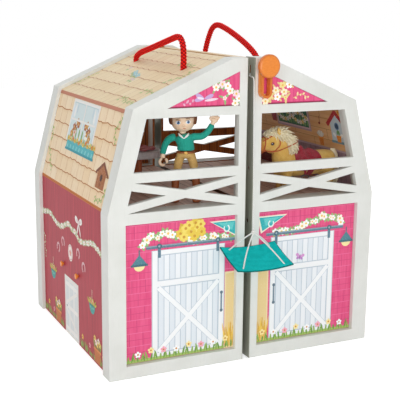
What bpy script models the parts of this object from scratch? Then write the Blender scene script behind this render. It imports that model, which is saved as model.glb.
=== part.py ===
"""Toy barn that opens like a book: two half barns hinged at the back.

Metres, +Z up. The front faces -Y, and the left and right halves are as seen from the front.
The origin is at the middle of the whole part's footprint, on the ground.
"""
import math

import bmesh
import bpy
from mathutils import Matrix, Vector

# Driving dimensions of the barn
WIDTH = 0.3134
DEPTH = 0.2678
HEIGHT = 0.325
UPPER_RISE = 0.0475
STEEP_RISE = 0.1045
STEEP_RUN = 0.0274
APEX_HALF = 0.0202
LOFT_DROP = 0.0005
HALF_GAP = 0.004
CLEAR = 0.0003
OVERRUN = 0.002

# Frames: one board each, thick round the rim and thin round the window and the lower filling
FRAME_T = 0.0207
FACE_T = 0.009
WINDOW_T = 0.006
STILE_W = 0.0091
POST_W = 0.0188
JAMB_W = 0.0166
RAFTER_DROP = 0.0166
BASE_RAIL_H = 0.0135
BEAM_LIP = 0.0014
BEAM_H = 0.0114
FENCE_H = 0.0304
SILL_H = 0.0102
TIE_DROP = 0.0008
TIE_H = 0.0091
BRACE_W = 0.0080
BRACE_END = 0.0037
REBATE_STEP = 0.0015
REBATE_SIDE_STEP = 0.0068
REBATE_STILE_STEP = 0.0056
REBATE_SAW_STEP = 0.0003
EDGE_ROUND = 0.0012

# Boards
BOARD_T = 0.0035
BOARD_INSET = 0.004
RIDGE_DROP = 0.002
FLOOR_T = 0.006
PANEL_T = 0.0035
PANEL_SETBACK = 0.0055
GABLE_T = 0.003
GABLE_SETBACK = 0.0004

# Hinges at the back
BARREL_R = 0.0022
PIN_R = 0.0010
LEAF_T = 0.001
LEAF_W = 0.0082
LEAF_H = 0.030
LOWER_HINGE_Z = 0.045
UPPER_HINGE_Z = 0.195

# Hoist on the right half
SHAFT_IN = 0.0097
SHAFT_DROP = 0.0082
SHAFT_R = 0.0025
DRUM_R = 0.004
DRUM_L = 0.0050
DRUM_SETBACK = 0.0088
DRUM_ROOM = 0.0011
WINDING_ROOM = 0.0022
KNOB_R = 0.0120
KNOB_T = 0.0055
KNOB_STANDOFF = 0.0090
CORD_R = 0.0008
CORD_ROOM = 0.0006
EXIT_DROP = 0.0120
CORD_FALL = 0.1582
KNOT_R = 0.0020
APEX_X = -0.0025
APEX_STANDOFF = 0.0161
SLING_DROP = 0.0162
SLING_W = 0.0655
SLING_D = 0.0437
SLING_T = 0.0014
SLING_TILT = math.radians(20)
SLING_STANDOFF = 0.0036
SLING_SAG = 0.0040

# The barn's section: the knuckle where the two roof slopes meet, the eave and the loft floor
HALF_W = WIDTH / 2
KNUCKLE_X = HALF_W - STEEP_RUN
KNUCKLE_Z = HEIGHT - UPPER_RISE
EAVE_Z = KNUCKLE_Z - STEEP_RISE
LOFT_TOP_Z = EAVE_Z - LOFT_DROP
STEEP_SLOPE = STEEP_RUN / STEEP_RISE
RAFTER_SLOPE = UPPER_RISE / (KNUCKLE_X - APEX_HALF)

# Heights that follow from the sizes above
BEAM_HIGH_Z = LOFT_TOP_Z + BEAM_LIP
BEAM_LOW_Z = BEAM_HIGH_Z - BEAM_H
SILL_LOW_Z = BEAM_HIGH_Z + FENCE_H
SILL_HIGH_Z = SILL_LOW_Z + SILL_H
TIE_HIGH_Z = KNUCKLE_Z - TIE_DROP
TIE_LOW_Z = TIE_HIGH_Z - TIE_H
SHAFT_Z = HEIGHT - SHAFT_DROP
EXIT_Z = SHAFT_Z - EXIT_DROP
APEX_Z = EXIT_Z - CORD_FALL
SLING_BACK_Z = APEX_Z - SLING_DROP

# Where the barn stands, so that the footprint of the whole part is centred on the origin
FRONT_REACH = SLING_STANDOFF + SLING_D * math.cos(SLING_TILT) + SLING_T / 2 * math.sin(SLING_TILT)
HINGE_AXIS_OFF = BARREL_R + CLEAR
BACK_REACH = HINGE_AXIS_OFF + BARREL_R
FRONT_Y = FRONT_REACH - (FRONT_REACH + DEPTH + BACK_REACH) / 2
BACK_Y = FRONT_Y + DEPTH
MID_Y = (FRONT_Y + BACK_Y) / 2
STILE_X = HALF_GAP + STILE_W
SHAFT_X = HALF_GAP + SHAFT_IN
HINGE_AXIS_Y = BACK_Y + HINGE_AXIS_OFF

SIDES = (("left", -1), ("right", 1))

# Colours
FRAME_GREY = (0.71, 0.71, 0.66)
SHINGLE = (0.87, 0.68, 0.44)
WALL_RED = (0.47, 0.085, 0.115)
PINK = (0.83, 0.14, 0.30)
FLOOR_MAUVE = (0.32, 0.23, 0.21)
ORANGE = (0.85, 0.28, 0.03)
ROPE_RED = (0.70, 0.01, 0.01)
FELT_TEAL = (0.01, 0.45, 0.42)
CORD_WHITE = (0.90, 0.90, 0.88)
STEEL = (0.55, 0.55, 0.56)
DARK_STEEL = (0.10, 0.10, 0.10)
SKIN = (0.85, 0.55, 0.36)
HAIR_BROWN = (0.13, 0.05, 0.025)
TROUSER_TAN = (0.62, 0.40, 0.15)
BOOT_BROWN = (0.20, 0.08, 0.04)
COAT_CREAM = (0.85, 0.60, 0.25)
MANE_CREAM = (0.87, 0.78, 0.58)
SADDLE_RED = (0.45, 0.02, 0.06)
TABLE_GREY = (0.45, 0.44, 0.45)


def clear_scene():
    for thing in list(bpy.data.objects):
        bpy.data.objects.remove(thing, do_unlink=True)


def finish_material(name, colour, roughness=0.55, metallic=0.0):
    found = bpy.data.materials.get(name)
    if found:
        return found
    material = bpy.data.materials.new(name)
    material.use_nodes = True
    shader = material.node_tree.nodes["Principled BSDF"]
    shader.inputs["Base Color"].default_value = (*colour, 1.0)
    shader.inputs["Roughness"].default_value = roughness
    shader.inputs["Metallic"].default_value = metallic
    return material


def carry(thing, body):
    """Hang an object on its body's empty without moving it."""
    thing.parent = body
    thing.matrix_parent_inverse = Matrix.Translation(-body.location)


def body_axis(name, place):
    empty = bpy.data.objects.new(name, None)
    empty.location = place
    bpy.context.collection.objects.link(empty)
    return empty


def object_from(bm, name, material, body=None, smooth=False):
    bmesh.ops.recalc_face_normals(bm, faces=bm.faces)
    mesh = bpy.data.meshes.new(name)
    bm.to_mesh(mesh)
    bm.free()
    if smooth:
        mesh.shade_smooth()
        mesh.set_sharp_from_angle(angle=math.radians(40))
    thing = bpy.data.objects.new(name, mesh)
    bpy.context.collection.objects.link(thing)
    if material:
        mesh.materials.append(material)
    if body:
        carry(thing, body)
    return thing


def add_prism(bm, outline, low, high, axis="Y"):
    """Add a straight prism. The outline is (x, z) for axis Y and (x, y) for axis Z."""
    rings = []
    for level in (low, high):
        if axis == "Y":
            rings.append([bm.verts.new((a, level, b)) for a, b in outline])
        else:
            rings.append([bm.verts.new((a, b, level)) for a, b in outline])
    first, second = rings
    bm.faces.new(first)
    bm.faces.new(reversed(second))
    count = len(outline)
    for i in range(count):
        j = (i + 1) % count
        bm.faces.new((first[i], second[i], second[j], first[j]))


def prism(name, outline, low, high, material, body=None, axis="Y"):
    bm = bmesh.new()
    add_prism(bm, outline, low, high, axis)
    return object_from(bm, name, material, body)


def rectangle(a0, a1, b0, b1):
    return [(a0, b0), (a1, b0), (a1, b1), (a0, b1)]


def circle(a, b, radius, sides):
    turn = 2 * math.pi / sides
    return [(a + radius * math.cos(turn * i), b + radius * math.sin(turn * i)) for i in range(sides)]


def cutter(bm, name):
    thing = object_from(bm, name, None)
    thing.hide_render = True
    thing.display_type = "WIRE"
    return thing


def apply_boolean(thing, tool, operation="DIFFERENCE"):
    change = thing.modifiers.new(tool.name, "BOOLEAN")
    change.operation = operation
    change.solver = "EXACT"
    change.object = tool


def round_edges(thing, width, segments=2):
    change = thing.modifiers.new("rounded edges", "BEVEL")
    change.width = width
    change.segments = segments
    change.limit_method = "ANGLE"
    change.angle_limit = math.radians(35)


def turned(name, profile, origin, axis, material, body=None, sides=24):
    """Turn a profile of (radius, distance along the axis) pairs into a closed solid."""
    bm = bmesh.new()
    add_turned(bm, profile, origin, axis, sides)
    return object_from(bm, name, material, body, smooth=True)


def add_turned(bm, profile, origin, axis, sides):
    along = Vector(axis).normalized()
    across = along.orthogonal().normalized()
    beside = along.cross(across)
    origin = Vector(origin)
    rings = []
    for radius, distance in profile:
        ring = []
        for i in range(sides):
            angle = 2 * math.pi * i / sides
            out = across * math.cos(angle) + beside * math.sin(angle)
            ring.append(bm.verts.new(origin + along * distance + out * radius))
        rings.append(ring)
    bm.faces.new(rings[0])
    bm.faces.new(reversed(rings[-1]))
    for low, high in zip(rings, rings[1:]):
        for i in range(sides):
            j = (i + 1) % sides
            bm.faces.new((low[i], high[i], high[j], low[j]))


def add_lofted(bm, stations, grow=0.0, sides=14):
    """Loft ellipses along a path. A station is (centre, half width, half height)."""
    centres = [Vector(station[0]) for station in stations]
    rings = []
    for i, (centre, wide, high) in enumerate(stations):
        ahead = centres[min(i + 1, len(centres) - 1)] - centres[max(i - 1, 0)]
        ahead.normalize()
        side = Vector((0, 1, 0)) - ahead * ahead.y
        side.normalize()
        up = ahead.cross(side)
        shift = 0.0
        if i == 0:
            shift = -grow
        if i == len(stations) - 1:
            shift = grow
        ring = []
        for k in range(sides):
            angle = 2 * math.pi * k / sides
            out = side * math.cos(angle) * (wide + grow) + up * math.sin(angle) * (high + grow)
            ring.append(bm.verts.new(centres[i] + out + ahead * shift))
        rings.append(ring)
    bm.faces.new(rings[0])
    bm.faces.new(reversed(rings[-1]))
    for low, high in zip(rings, rings[1:]):
        for k in range(sides):
            j = (k + 1) % sides
            bm.faces.new((low[k], high[k], high[j], low[j]))


def lofted(name, stations, material, body=None, sides=14, grow=0.0):
    bm = bmesh.new()
    add_lofted(bm, stations, grow, sides)
    return object_from(bm, name, material, body, smooth=True)


def ball_mesh(centre, radius, turns=20, rows=14):
    bm = bmesh.new()
    bmesh.ops.create_uvsphere(bm, u_segments=turns, v_segments=rows, radius=radius,
                              matrix=Matrix.Translation(centre))
    return bm


def ball(name, centre, radius, material, body):
    return object_from(ball_mesh(centre, radius), name, material, body, smooth=True)


def smooth_route(points, steps):
    """Points of a smooth curve through a route's own points."""
    points = [Vector(point) for point in points]
    ends = [points[0] * 2 - points[1]] + points + [points[-1] * 2 - points[-2]]
    route = []
    for i in range(1, len(ends) - 2):
        before, here, there, after = ends[i - 1:i + 3]
        for k in range(steps):
            t = k / steps
            route.append(0.5 * (2 * here + (there - before) * t
                                + (2 * before - 5 * here + 4 * there - after) * t ** 2
                                + (3 * here - before - 3 * there + after) * t ** 3))
    return route + [points[-1]]


def tube(name, route, radius, material, body):
    curve = bpy.data.curves.new(name, "CURVE")
    curve.dimensions = "3D"
    curve.bevel_depth = radius
    curve.bevel_resolution = 2
    curve.use_fill_caps = True
    spline = curve.splines.new("POLY")
    spline.points.add(len(route) - 1)
    for point, place in zip(spline.points, route):
        point.co = (*place, 1.0)
    curve.materials.append(material)
    thing = bpy.data.objects.new(name, curve)
    bpy.context.collection.objects.link(thing)
    carry(thing, body)
    return thing


# The barn's section, as half outlines in x and z for the right half

def steep_x(z, inset=0.0):
    """The steep roof line's x at height z, moved in by a horizontal distance."""
    return HALF_W - (z - EAVE_Z) * STEEP_SLOPE - inset


def meet(line_a, line_b):
    """Where two lines cross. A line is (point, direction) in x and z."""
    (ax, az), (adx, adz) = line_a
    (bx, bz), (bdx, bdz) = line_b
    cross = adx * bdz - adz * bdx
    t = ((bx - ax) * bdz - (bz - az) * bdx) / cross
    return (ax + adx * t, az + adz * t)


def section_lines(inset):
    """Wall, steep roof and upper roof lines, moved in square to themselves."""
    steep = Vector((KNUCKLE_X - HALF_W, KNUCKLE_Z - EAVE_Z)).normalized()
    upper = Vector((APEX_HALF - KNUCKLE_X, HEIGHT - KNUCKLE_Z)).normalized()
    wall_line = ((HALF_W - inset, 0.0), (0.0, 1.0))
    steep_line = ((HALF_W - steep.y * inset, EAVE_Z + steep.x * inset), tuple(steep))
    upper_line = ((KNUCKLE_X - upper.y * inset, KNUCKLE_Z + upper.x * inset), tuple(upper))
    return wall_line, steep_line, upper_line


def mirrored(outline, sign):
    return [(a * sign, b) for a, b in outline]


def fence_openings():
    """The four gaps round the crossed braces, as outlines in x and z."""
    low_in = Vector((STILE_X, BEAM_HIGH_Z))
    high_in = Vector((STILE_X, SILL_LOW_Z))
    low_out = Vector((steep_x(BEAM_HIGH_Z, POST_W), BEAM_HIGH_Z))
    high_out = Vector((steep_x(SILL_LOW_Z, POST_W), SILL_LOW_Z))
    up = Vector((0.0, BRACE_END))
    rise = (low_in + up, high_out - up)
    fall = (high_in - up, low_out + up)
    gaps = []
    for start, end, first, second in ((low_in, low_out, rise, fall), (high_in, high_out, fall, rise),
                                      (low_in, high_in, rise, fall), (low_out, high_out, fall, rise)):
        middle = (start + end) / 2
        edge = (tuple(start), tuple(end - start))
        sides = []
        for brace_start, brace_end in (first, second):
            run = (brace_end - brace_start).normalized()
            normal = Vector((-run.y, run.x))
            if (middle - brace_start).dot(normal) < 0:
                normal.negate()
            sides.append((tuple(brace_start + normal * BRACE_W / 2), tuple(run)))
        gaps.append([meet(edge, sides[0]), meet(edge, sides[1]), meet(sides[0], sides[1])])
    return gaps


def window_outline():
    return [(STILE_X, SILL_HIGH_Z), (steep_x(SILL_HIGH_Z, JAMB_W), SILL_HIGH_Z),
            (steep_x(TIE_LOW_Z, JAMB_W), TIE_LOW_Z), (STILE_X, TIE_LOW_Z)]


def gable_outline(inset=0.0):
    """The gable triangle, moved in all round by an inset."""
    hypotenuse = Vector((KNUCKLE_X, -RAFTER_SLOPE * KNUCKLE_X)).normalized()
    low = TIE_HIGH_Z + inset
    inner = STILE_X + inset
    along = Vector((1.0, -RAFTER_SLOPE)).normalized()
    start = Vector((KNUCKLE_X, KNUCKLE_Z - RAFTER_DROP)) + Vector((along.y, -along.x)) * inset
    roof = (tuple(start), tuple(hypotenuse))
    return [(inner, low), meet(((inner, low), (1.0, 0.0)), roof), meet(((inner, low), (0.0, 1.0)), roof)]


def frame(side, sign, end, outer_y, inward, body, paint):
    """One end frame of a half: outer_y is its outer face, inward is +1 or -1 along Y."""
    name = f"{side}_{end}_frame"
    outline = [(HALF_GAP, 0.0), (HALF_W, 0.0), (HALF_W, EAVE_Z), (KNUCKLE_X, KNUCKLE_Z),
               (APEX_HALF, HEIGHT), (HALF_GAP, HEIGHT)]
    inner_y = outer_y + inward * FRAME_T
    face_y = outer_y + inward * FACE_T
    window_y = outer_y + inward * WINDOW_T
    outside = outer_y - inward * OVERRUN
    inside = inner_y + inward * OVERRUN
    board = prism(name, mirrored(outline, sign), min(outer_y, inner_y), max(outer_y, inner_y),
                  paint, body)
    lower = rectangle(STILE_X, HALF_W - POST_W, BASE_RAIL_H, BEAM_LOW_Z)
    bm = bmesh.new()
    for hole in [window_outline(), lower] + fence_openings():
        add_prism(bm, mirrored(hole, sign), min(outside, inside), max(outside, inside))
    gable_floor = outer_y + inward * (GABLE_T + GABLE_SETBACK + CLEAR)
    add_prism(bm, mirrored(gable_outline(), sign), min(outside, gable_floor), max(outside, gable_floor))
    apply_boolean(board, cutter(bm, f"{name}_openings"))
    bm = bmesh.new()
    inner_x = STILE_X - REBATE_STEP
    side_step = POST_W - REBATE_SIDE_STEP
    low, high = BEAM_HIGH_Z - REBATE_SAW_STEP, TIE_LOW_Z + REBATE_STEP
    thin_x = STILE_X - REBATE_STILE_STEP
    upper_rebate = [(thin_x, low), (steep_x(low, side_step), low),
                    (steep_x(high, side_step), high), (thin_x, high)]
    lower_rebate = rectangle(inner_x, HALF_W - side_step, BASE_RAIL_H - REBATE_STEP,
                             BEAM_LOW_Z + REBATE_STEP)
    for hole, depth_y in ((upper_rebate, window_y), (lower_rebate, face_y)):
        add_prism(bm, mirrored(hole, sign), min(depth_y, inside), max(depth_y, inside))
    apply_boolean(board, cutter(bm, f"{name}_rebates"))
    return board


def frame_and_panels(side, sign, end, outer_y, inward, body):
    paint = finish_material("frame paint", FRAME_GREY, 0.5)
    print_pink = finish_material("pink print", PINK, 0.5)
    board = frame(side, sign, end, outer_y, inward, body, paint)
    if end == "front":
        cut_magnet_holes(board, side, sign)
        if side == "right":
            cut_hoist_pocket(board)
    round_edges(board, EDGE_ROUND)
    back_y = outer_y + inward * (PANEL_SETBACK + PANEL_T)
    front_y = outer_y + inward * PANEL_SETBACK
    panel = rectangle(STILE_X + CLEAR, HALF_W - POST_W - CLEAR, BASE_RAIL_H + CLEAR, BEAM_LOW_Z - CLEAR)
    prism(f"{side}_{end}_panel", mirrored(panel, sign), min(front_y, back_y), max(front_y, back_y),
          print_pink, body)
    gable_out = outer_y + inward * GABLE_SETBACK
    gable_in = gable_out + inward * GABLE_T
    prism(f"{side}_{end}_gable", mirrored(gable_outline(CLEAR), sign), min(gable_out, gable_in),
          max(gable_out, gable_in), print_pink, body)


# Closing magnets, let into the front stile's edge

MAGNET_R = 0.002
MAGNET_T = 0.002
MAGNET_SETBACK = 0.0105
MAGNET_DROP = 0.010


def magnet_places(sign, depth):
    """One magnet is under the beam and one at the middle of the window sill."""
    for level, z in (("lower", BEAM_LOW_Z - MAGNET_DROP), ("upper", (SILL_LOW_Z + SILL_HIGH_Z) / 2)):
        yield level, Vector((sign * (HALF_GAP + depth), FRONT_Y + MAGNET_SETBACK, z))


def cut_magnet_holes(board, side, sign):
    bm = bmesh.new()
    hole = MAGNET_R + CLEAR
    for _, place in magnet_places(sign, -OVERRUN):
        add_turned(bm, [(hole, 0.0), (hole, OVERRUN + MAGNET_T + 2 * CLEAR)], place, (sign, 0, 0), 16)
    apply_boolean(board, cutter(bm, f"{side}_magnet_holes"))


def magnets(side, sign, body):
    steel = finish_material("magnet steel", DARK_STEEL, 0.3, 1.0)
    for level, place in magnet_places(sign, CLEAR):
        turned(f"{side}_{level}_magnet", [(MAGNET_R, 0.0), (MAGNET_R, MAGNET_T)], place, (sign, 0, 0),
               steel, body, 16)


# Wall, roof and floor boards

def wall_and_roof(side, sign, body):
    low, high = FRONT_Y + FRAME_T + CLEAR, BACK_Y - FRAME_T - CLEAR
    wall_out, steep_out, upper_out = section_lines(BOARD_INSET)
    wall_in, steep_in, upper_in = section_lines(BOARD_INSET + BOARD_T)
    half = CLEAR / 2

    def slid(point, line, distance):
        return (point[0] + line[1][0] * distance, point[1] + line[1][1] * distance)

    eave_out, eave_in = meet(wall_out, steep_out), meet(wall_in, steep_in)
    wall = [(wall_out[0][0], 0.0), slid(eave_out, wall_out, -half),
            slid(eave_in, wall_in, -half), (wall_in[0][0], 0.0)]
    wall_board = prism(f"{side}_wall", mirrored(wall, sign), low, high,
                       finish_material("wall print", WALL_RED, 0.5), body)
    if side == "left":
        pegs(sign, wall_board, body)
    under_out, under_in = meet(steep_out, upper_in), meet(steep_in, upper_in)
    shingle = finish_material("shingle print", SHINGLE, 0.55)
    steep = [slid(eave_out, steep_out, half), slid(under_out, steep_out, -CLEAR),
             slid(under_in, steep_in, -CLEAR), slid(eave_in, steep_in, half)]
    prism(f"{side}_steep_roof", mirrored(steep, sign), low, high, shingle, body)
    top = HEIGHT - RIDGE_DROP
    ridge_out = meet(upper_out, ((0.0, top), (1.0, 0.0)))
    ridge_in = meet(upper_in, ((0.0, top - BOARD_T), (1.0, 0.0)))
    upper = [meet(steep_out, upper_out), ridge_out, (HALF_GAP, top), (HALF_GAP, top - BOARD_T),
             ridge_in, under_out]
    roof = prism(f"{side}_upper_roof", mirrored(upper, sign), low, high, shingle, body)
    bm = bmesh.new()
    for y in (HANDLE_FRONT_Y, HANDLE_BACK_Y):
        add_turned(bm, [(ROPE_R + CLEAR, 0.0), (ROPE_R + CLEAR, HEIGHT)],
                   (sign * HANDLE_X, MID_Y + y, HEIGHT / 2), (0, 0, 1), 16)
    apply_boolean(roof, cutter(bm, f"{side}_rope_holes"))


def floors(side, sign, body):
    low, high = FRONT_Y + FRAME_T + CLEAR, BACK_Y - FRAME_T - CLEAR
    paint = finish_material("floor print", FLOOR_MAUVE, 0.55)
    wall_in, steep_in, _ = section_lines(BOARD_INSET + BOARD_T)
    steep_x_at_loft = meet(steep_in, ((0.0, LOFT_TOP_Z), (1.0, 0.0)))[0]
    for level, top, reach in (("ground", FLOOR_T, wall_in[0][0]),
                              ("loft", LOFT_TOP_Z, min(wall_in[0][0], steep_x_at_loft))):
        outline = rectangle(HALF_GAP, reach - CLEAR, top - FLOOR_T, top)
        prism(f"{side}_{level}_floor", mirrored(outline, sign), low, high, paint, body)


# Turned hanging pegs on the left side wall

PEG_HEAD_R = 0.0032
PEG_HEAD_T = 0.0022
PEG_NECK_R = 0.0018
PEG_NECK_L = 0.0012
PEG_EDGE = 0.0006
PEG_Z = 0.081
FRONT_PEG_Y = -0.0224
BACK_PEG_Y = 0.0321


def pegs(sign, wall_board, body):
    wall_x = HALF_W - BOARD_INSET
    orange = finish_material("peg orange", ORANGE, 0.45)
    holes = bmesh.new()
    for end, y in (("front", FRONT_PEG_Y), ("back", BACK_PEG_Y)):
        foot = (sign * (wall_x - BOARD_T), MID_Y + y, PEG_Z)
        neck = BOARD_T + PEG_NECK_L
        profile = [(PEG_NECK_R, 0.0), (PEG_NECK_R, neck), (PEG_HEAD_R, neck + PEG_EDGE),
                   (PEG_HEAD_R, neck + PEG_HEAD_T - PEG_EDGE),
                   (PEG_HEAD_R - PEG_EDGE, neck + PEG_HEAD_T)]
        turned(f"{end}_wall_peg", profile, foot, (sign, 0, 0), orange, body, 16)
        hole = PEG_NECK_R + CLEAR
        start = (sign * (wall_x - BOARD_T - OVERRUN), MID_Y + y, PEG_Z)
        add_turned(holes, [(hole, 0.0), (hole, BOARD_T + 2 * OVERRUN)], start, (sign, 0, 0), 16)
    apply_boolean(wall_board, cutter(holes, "peg_holes"))


# Rope handles: each rope goes through two holes in the upper roof and is knotted under it

ROPE_R = 0.0035
HANDLE_X = 0.0452
HANDLE_FRONT_Y = -0.0650
HANDLE_BACK_Y = 0.0723
KNOT_LUMP_R = 0.0067
# Radius and depth of a knot's outline, as shares of its radius
KNOT_SHARES = ((0.45, 2.0), (0.85, 1.65), (1.0, 1.0), (0.85, 0.35), (0.45, 0.0))
# Points between the two holes: distance behind the barn's middle, and height over the ridge
LEFT_ROPE = [(-0.0655, -0.0050), (-0.0640, 0.0080), (-0.0580, 0.0160), (-0.0480, 0.0175),
             (-0.0300, 0.0140), (0.0000, 0.0075), (0.0300, 0.0010), (0.0560, -0.0045), (0.0690, -0.0090)]
RIGHT_ROPE = [(-0.0640, -0.0090), (-0.0570, -0.0015), (-0.0380, 0.0075), (-0.0120, 0.0165),
              (0.0150, 0.0240), (0.0360, 0.0275), (0.0500, 0.0240), (0.0600, 0.0135), (0.0685, -0.0010)]
ROPE_STEPS = 2


def roof_under_z(x):
    """Height of the upper roof board's underside at x."""
    point, run = section_lines(BOARD_INSET + BOARD_T)[2]
    return point[1] + (x - point[0]) * run[1] / run[0]


def rope_handle(side, sign, points, body):
    red = finish_material("rope red", ROPE_RED, 0.8)
    knot_top = roof_under_z(HANDLE_X + KNOT_LUMP_R * KNOT_SHARES[-1][0]) - CLEAR
    under = knot_top + CLEAR
    over = under + BOARD_T + 2 * OVERRUN
    x = sign * HANDLE_X
    ends = [(x, MID_Y + y, under) for y in (HANDLE_FRONT_Y, HANDLE_BACK_Y)]
    tops = [(x, MID_Y + y, over) for y in (HANDLE_FRONT_Y, HANDLE_BACK_Y)]
    middle = [(x, MID_Y + y, HEIGHT + rise) for y, rise in points]
    route = smooth_route([ends[0], tops[0]] + middle + [tops[1], ends[1]], ROPE_STEPS)
    tube(f"{side}_rope_handle", route, ROPE_R, red, body)
    profile = [(KNOT_LUMP_R * share, -KNOT_LUMP_R * drop_share) for share, drop_share in KNOT_SHARES]
    for end, (x_end, y_end, _) in zip(("front", "back"), ends):
        turned(f"{side}_{end}_rope_knot", profile, (x_end, y_end, knot_top), (0, 0, 1), red, body, 12)


# Hinges: two at the back, each with a leaf on either half and one pin

WEB_SHARE = 0.1
KNUCKLES = {"left": (0, 2), "right": (1,)}
KNUCKLE_COUNT = 3


def hinge_leaf(side, sign, level, z, body):
    steel = finish_material("hinge steel", STEEL, 0.35, 1.0)
    plate_low, plate_high = BACK_Y + CLEAR, BACK_Y + CLEAR + LEAF_T
    plate_x = BARREL_R + CLEAR
    outline = rectangle(plate_x, plate_x + LEAF_W, plate_low, plate_high)
    leaf = prism(f"{side}_{level}_hinge_leaf", mirrored(outline, sign), z, z + LEAF_H, steel, body, "Z")
    knuckle = LEAF_H / KNUCKLE_COUNT
    web_in = LEAF_T * WEB_SHARE
    web = rectangle(0.0, plate_x + LEAF_W / 2, plate_low + web_in, plate_high - web_in)
    barrels = bmesh.new()
    webs = bmesh.new()
    for place in KNUCKLES[side]:
        low = z + place * knuckle + CLEAR / 2
        high = low + knuckle - CLEAR
        add_prism(barrels, circle(0.0, HINGE_AXIS_Y, BARREL_R, 20), low, high, "Z")
        add_prism(webs, mirrored(web, sign), low + web_in, high - web_in, "Z")
    apply_boolean(leaf, cutter(webs, f"{side}_{level}_hinge_web"), "UNION")
    apply_boolean(leaf, cutter(barrels, f"{side}_{level}_hinge_barrel"), "UNION")
    hole = bmesh.new()
    add_prism(hole, circle(0.0, HINGE_AXIS_Y, PIN_R + CLEAR, 16), z - OVERRUN, z + LEAF_H + OVERRUN, "Z")
    apply_boolean(leaf, cutter(hole, f"{side}_{level}_pin_hole"))


def hinges(left, right):
    steel = finish_material("hinge steel", STEEL, 0.35, 1.0)
    for level, z in (("lower", LOWER_HINGE_Z), ("upper", UPPER_HINGE_Z)):
        hinge_leaf("left", -1, level, z, left)
        hinge_leaf("right", 1, level, z, right)
        turned(f"{level}_hinge_pin", [(PIN_R, 0.0), (PIN_R, LEAF_H)], (0, HINGE_AXIS_Y, z), (0, 0, 1),
               steel, left, 16)


# Hoist: a knob turns a shaft with a drum inside the gable, and the drum winds the cord

LOOP_END_PLAY = 0.00075
LOOP_INNER_R = 0.0037
LOOP_WALL = 0.0025
LOOP_BRIDGE = 0.0070
LOOP_DROP = 0.0268
KNOB_SOCKET = 0.0030
KNOB_EDGE = 0.0007
SLOT_FOOT = 0.0013
ROUND_SIDES = 32
CORD_STEPS = 3
CORD_FALL_RUNS = 3
CORD_LINE_Y = FRONT_Y + DRUM_SETBACK + DRUM_L / 2


def cut_hoist_pocket(board):
    setback = DRUM_SETBACK - DRUM_ROOM
    wide = DRUM_R + WINDING_ROOM
    bm = bmesh.new()
    add_turned(bm, [(wide, 0.0), (wide, FRAME_T - setback + OVERRUN)],
               (SHAFT_X, FRONT_Y + setback, SHAFT_Z), (0, 1, 0), 24)
    apply_boolean(board, cutter(bm, "hoist_pocket"))
    hole = SHAFT_R + CLEAR
    bm = bmesh.new()
    add_turned(bm, [(hole, 0.0), (hole, setback + 2 * OVERRUN)],
               (SHAFT_X, FRONT_Y - OVERRUN, SHAFT_Z), (0, 1, 0), 20)
    apply_boolean(board, cutter(bm, "shaft_hole"))
    half_slot = CORD_R + CORD_ROOM
    bm = bmesh.new()
    add_prism(bm, rectangle(HALF_GAP - OVERRUN, SHAFT_X - DRUM_R, EXIT_Z - SLOT_FOOT, SHAFT_Z),
              CORD_LINE_Y - half_slot, CORD_LINE_Y + half_slot)
    apply_boolean(board, cutter(bm, "cord_slot"))


def hoist_turning_parts(body):
    wood = finish_material("orange wood", ORANGE, 0.4)
    rear = FRONT_Y - KNOB_STANDOFF
    edge = KNOB_EDGE
    profile = [(KNOB_R - edge, 0.0), (KNOB_R, edge), (KNOB_R, KNOB_T - 2 * edge),
               (KNOB_R - edge, KNOB_T - edge), (KNOB_R - 3 * edge, KNOB_T)]
    knob = turned("hoist_knob", profile, (SHAFT_X, rear, SHAFT_Z), (0, -1, 0), wood, body, ROUND_SIDES)
    bm = bmesh.new()
    socket = SHAFT_R + CLEAR
    add_turned(bm, [(socket, 0.0), (socket, KNOB_SOCKET + OVERRUN)],
               (SHAFT_X, rear + OVERRUN, SHAFT_Z), (0, -1, 0), 20)
    apply_boolean(knob, cutter(bm, "knob_socket"))
    start = rear - KNOB_SOCKET + CLEAR
    drum = FRONT_Y + DRUM_SETBACK - start
    end = FRONT_Y + FRAME_T - CLEAR - start
    profile = [(SHAFT_R, 0.0), (SHAFT_R, drum), (DRUM_R, drum), (DRUM_R, drum + DRUM_L),
               (SHAFT_R, drum + DRUM_L), (SHAFT_R, end)]
    turned("hoist_shaft", profile, (SHAFT_X, start, SHAFT_Z), (0, 1, 0), wood, body, 20)


def slot_outline(radius, top_z, low_z):
    """A slot with round ends, from the centre of its top end to the centre of its low end."""
    turns = ROUND_SIDES // 2
    arc = [(radius * math.cos(math.pi * i / turns), radius * math.sin(math.pi * i / turns))
           for i in range(turns + 1)]
    return ([(SHAFT_X + x, top_z + z) for x, z in arc] + [(SHAFT_X - x, low_z - z) for x, z in arc])


def latch_loop(body):
    """The slotted loop that hangs on the shaft behind the knob."""
    low = SHAFT_Z - LOOP_DROP
    rear = FRONT_Y - LOOP_END_PLAY
    front = FRONT_Y - KNOB_STANDOFF + LOOP_END_PLAY
    loop = prism("latch_loop", slot_outline(LOOP_INNER_R + LOOP_WALL, SHAFT_Z, low), front, rear,
                 finish_material("orange wood", ORANGE, 0.4), body)
    hole = SHAFT_R + CLEAR
    slot_top = SHAFT_Z - hole - LOOP_BRIDGE - LOOP_INNER_R
    bm = bmesh.new()
    add_prism(bm, slot_outline(LOOP_INNER_R, slot_top, low), front - OVERRUN, rear + OVERRUN)
    add_prism(bm, circle(SHAFT_X, SHAFT_Z, hole, 20), front - OVERRUN, rear + OVERRUN)
    apply_boolean(loop, cutter(bm, "loop_slot"))


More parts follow.
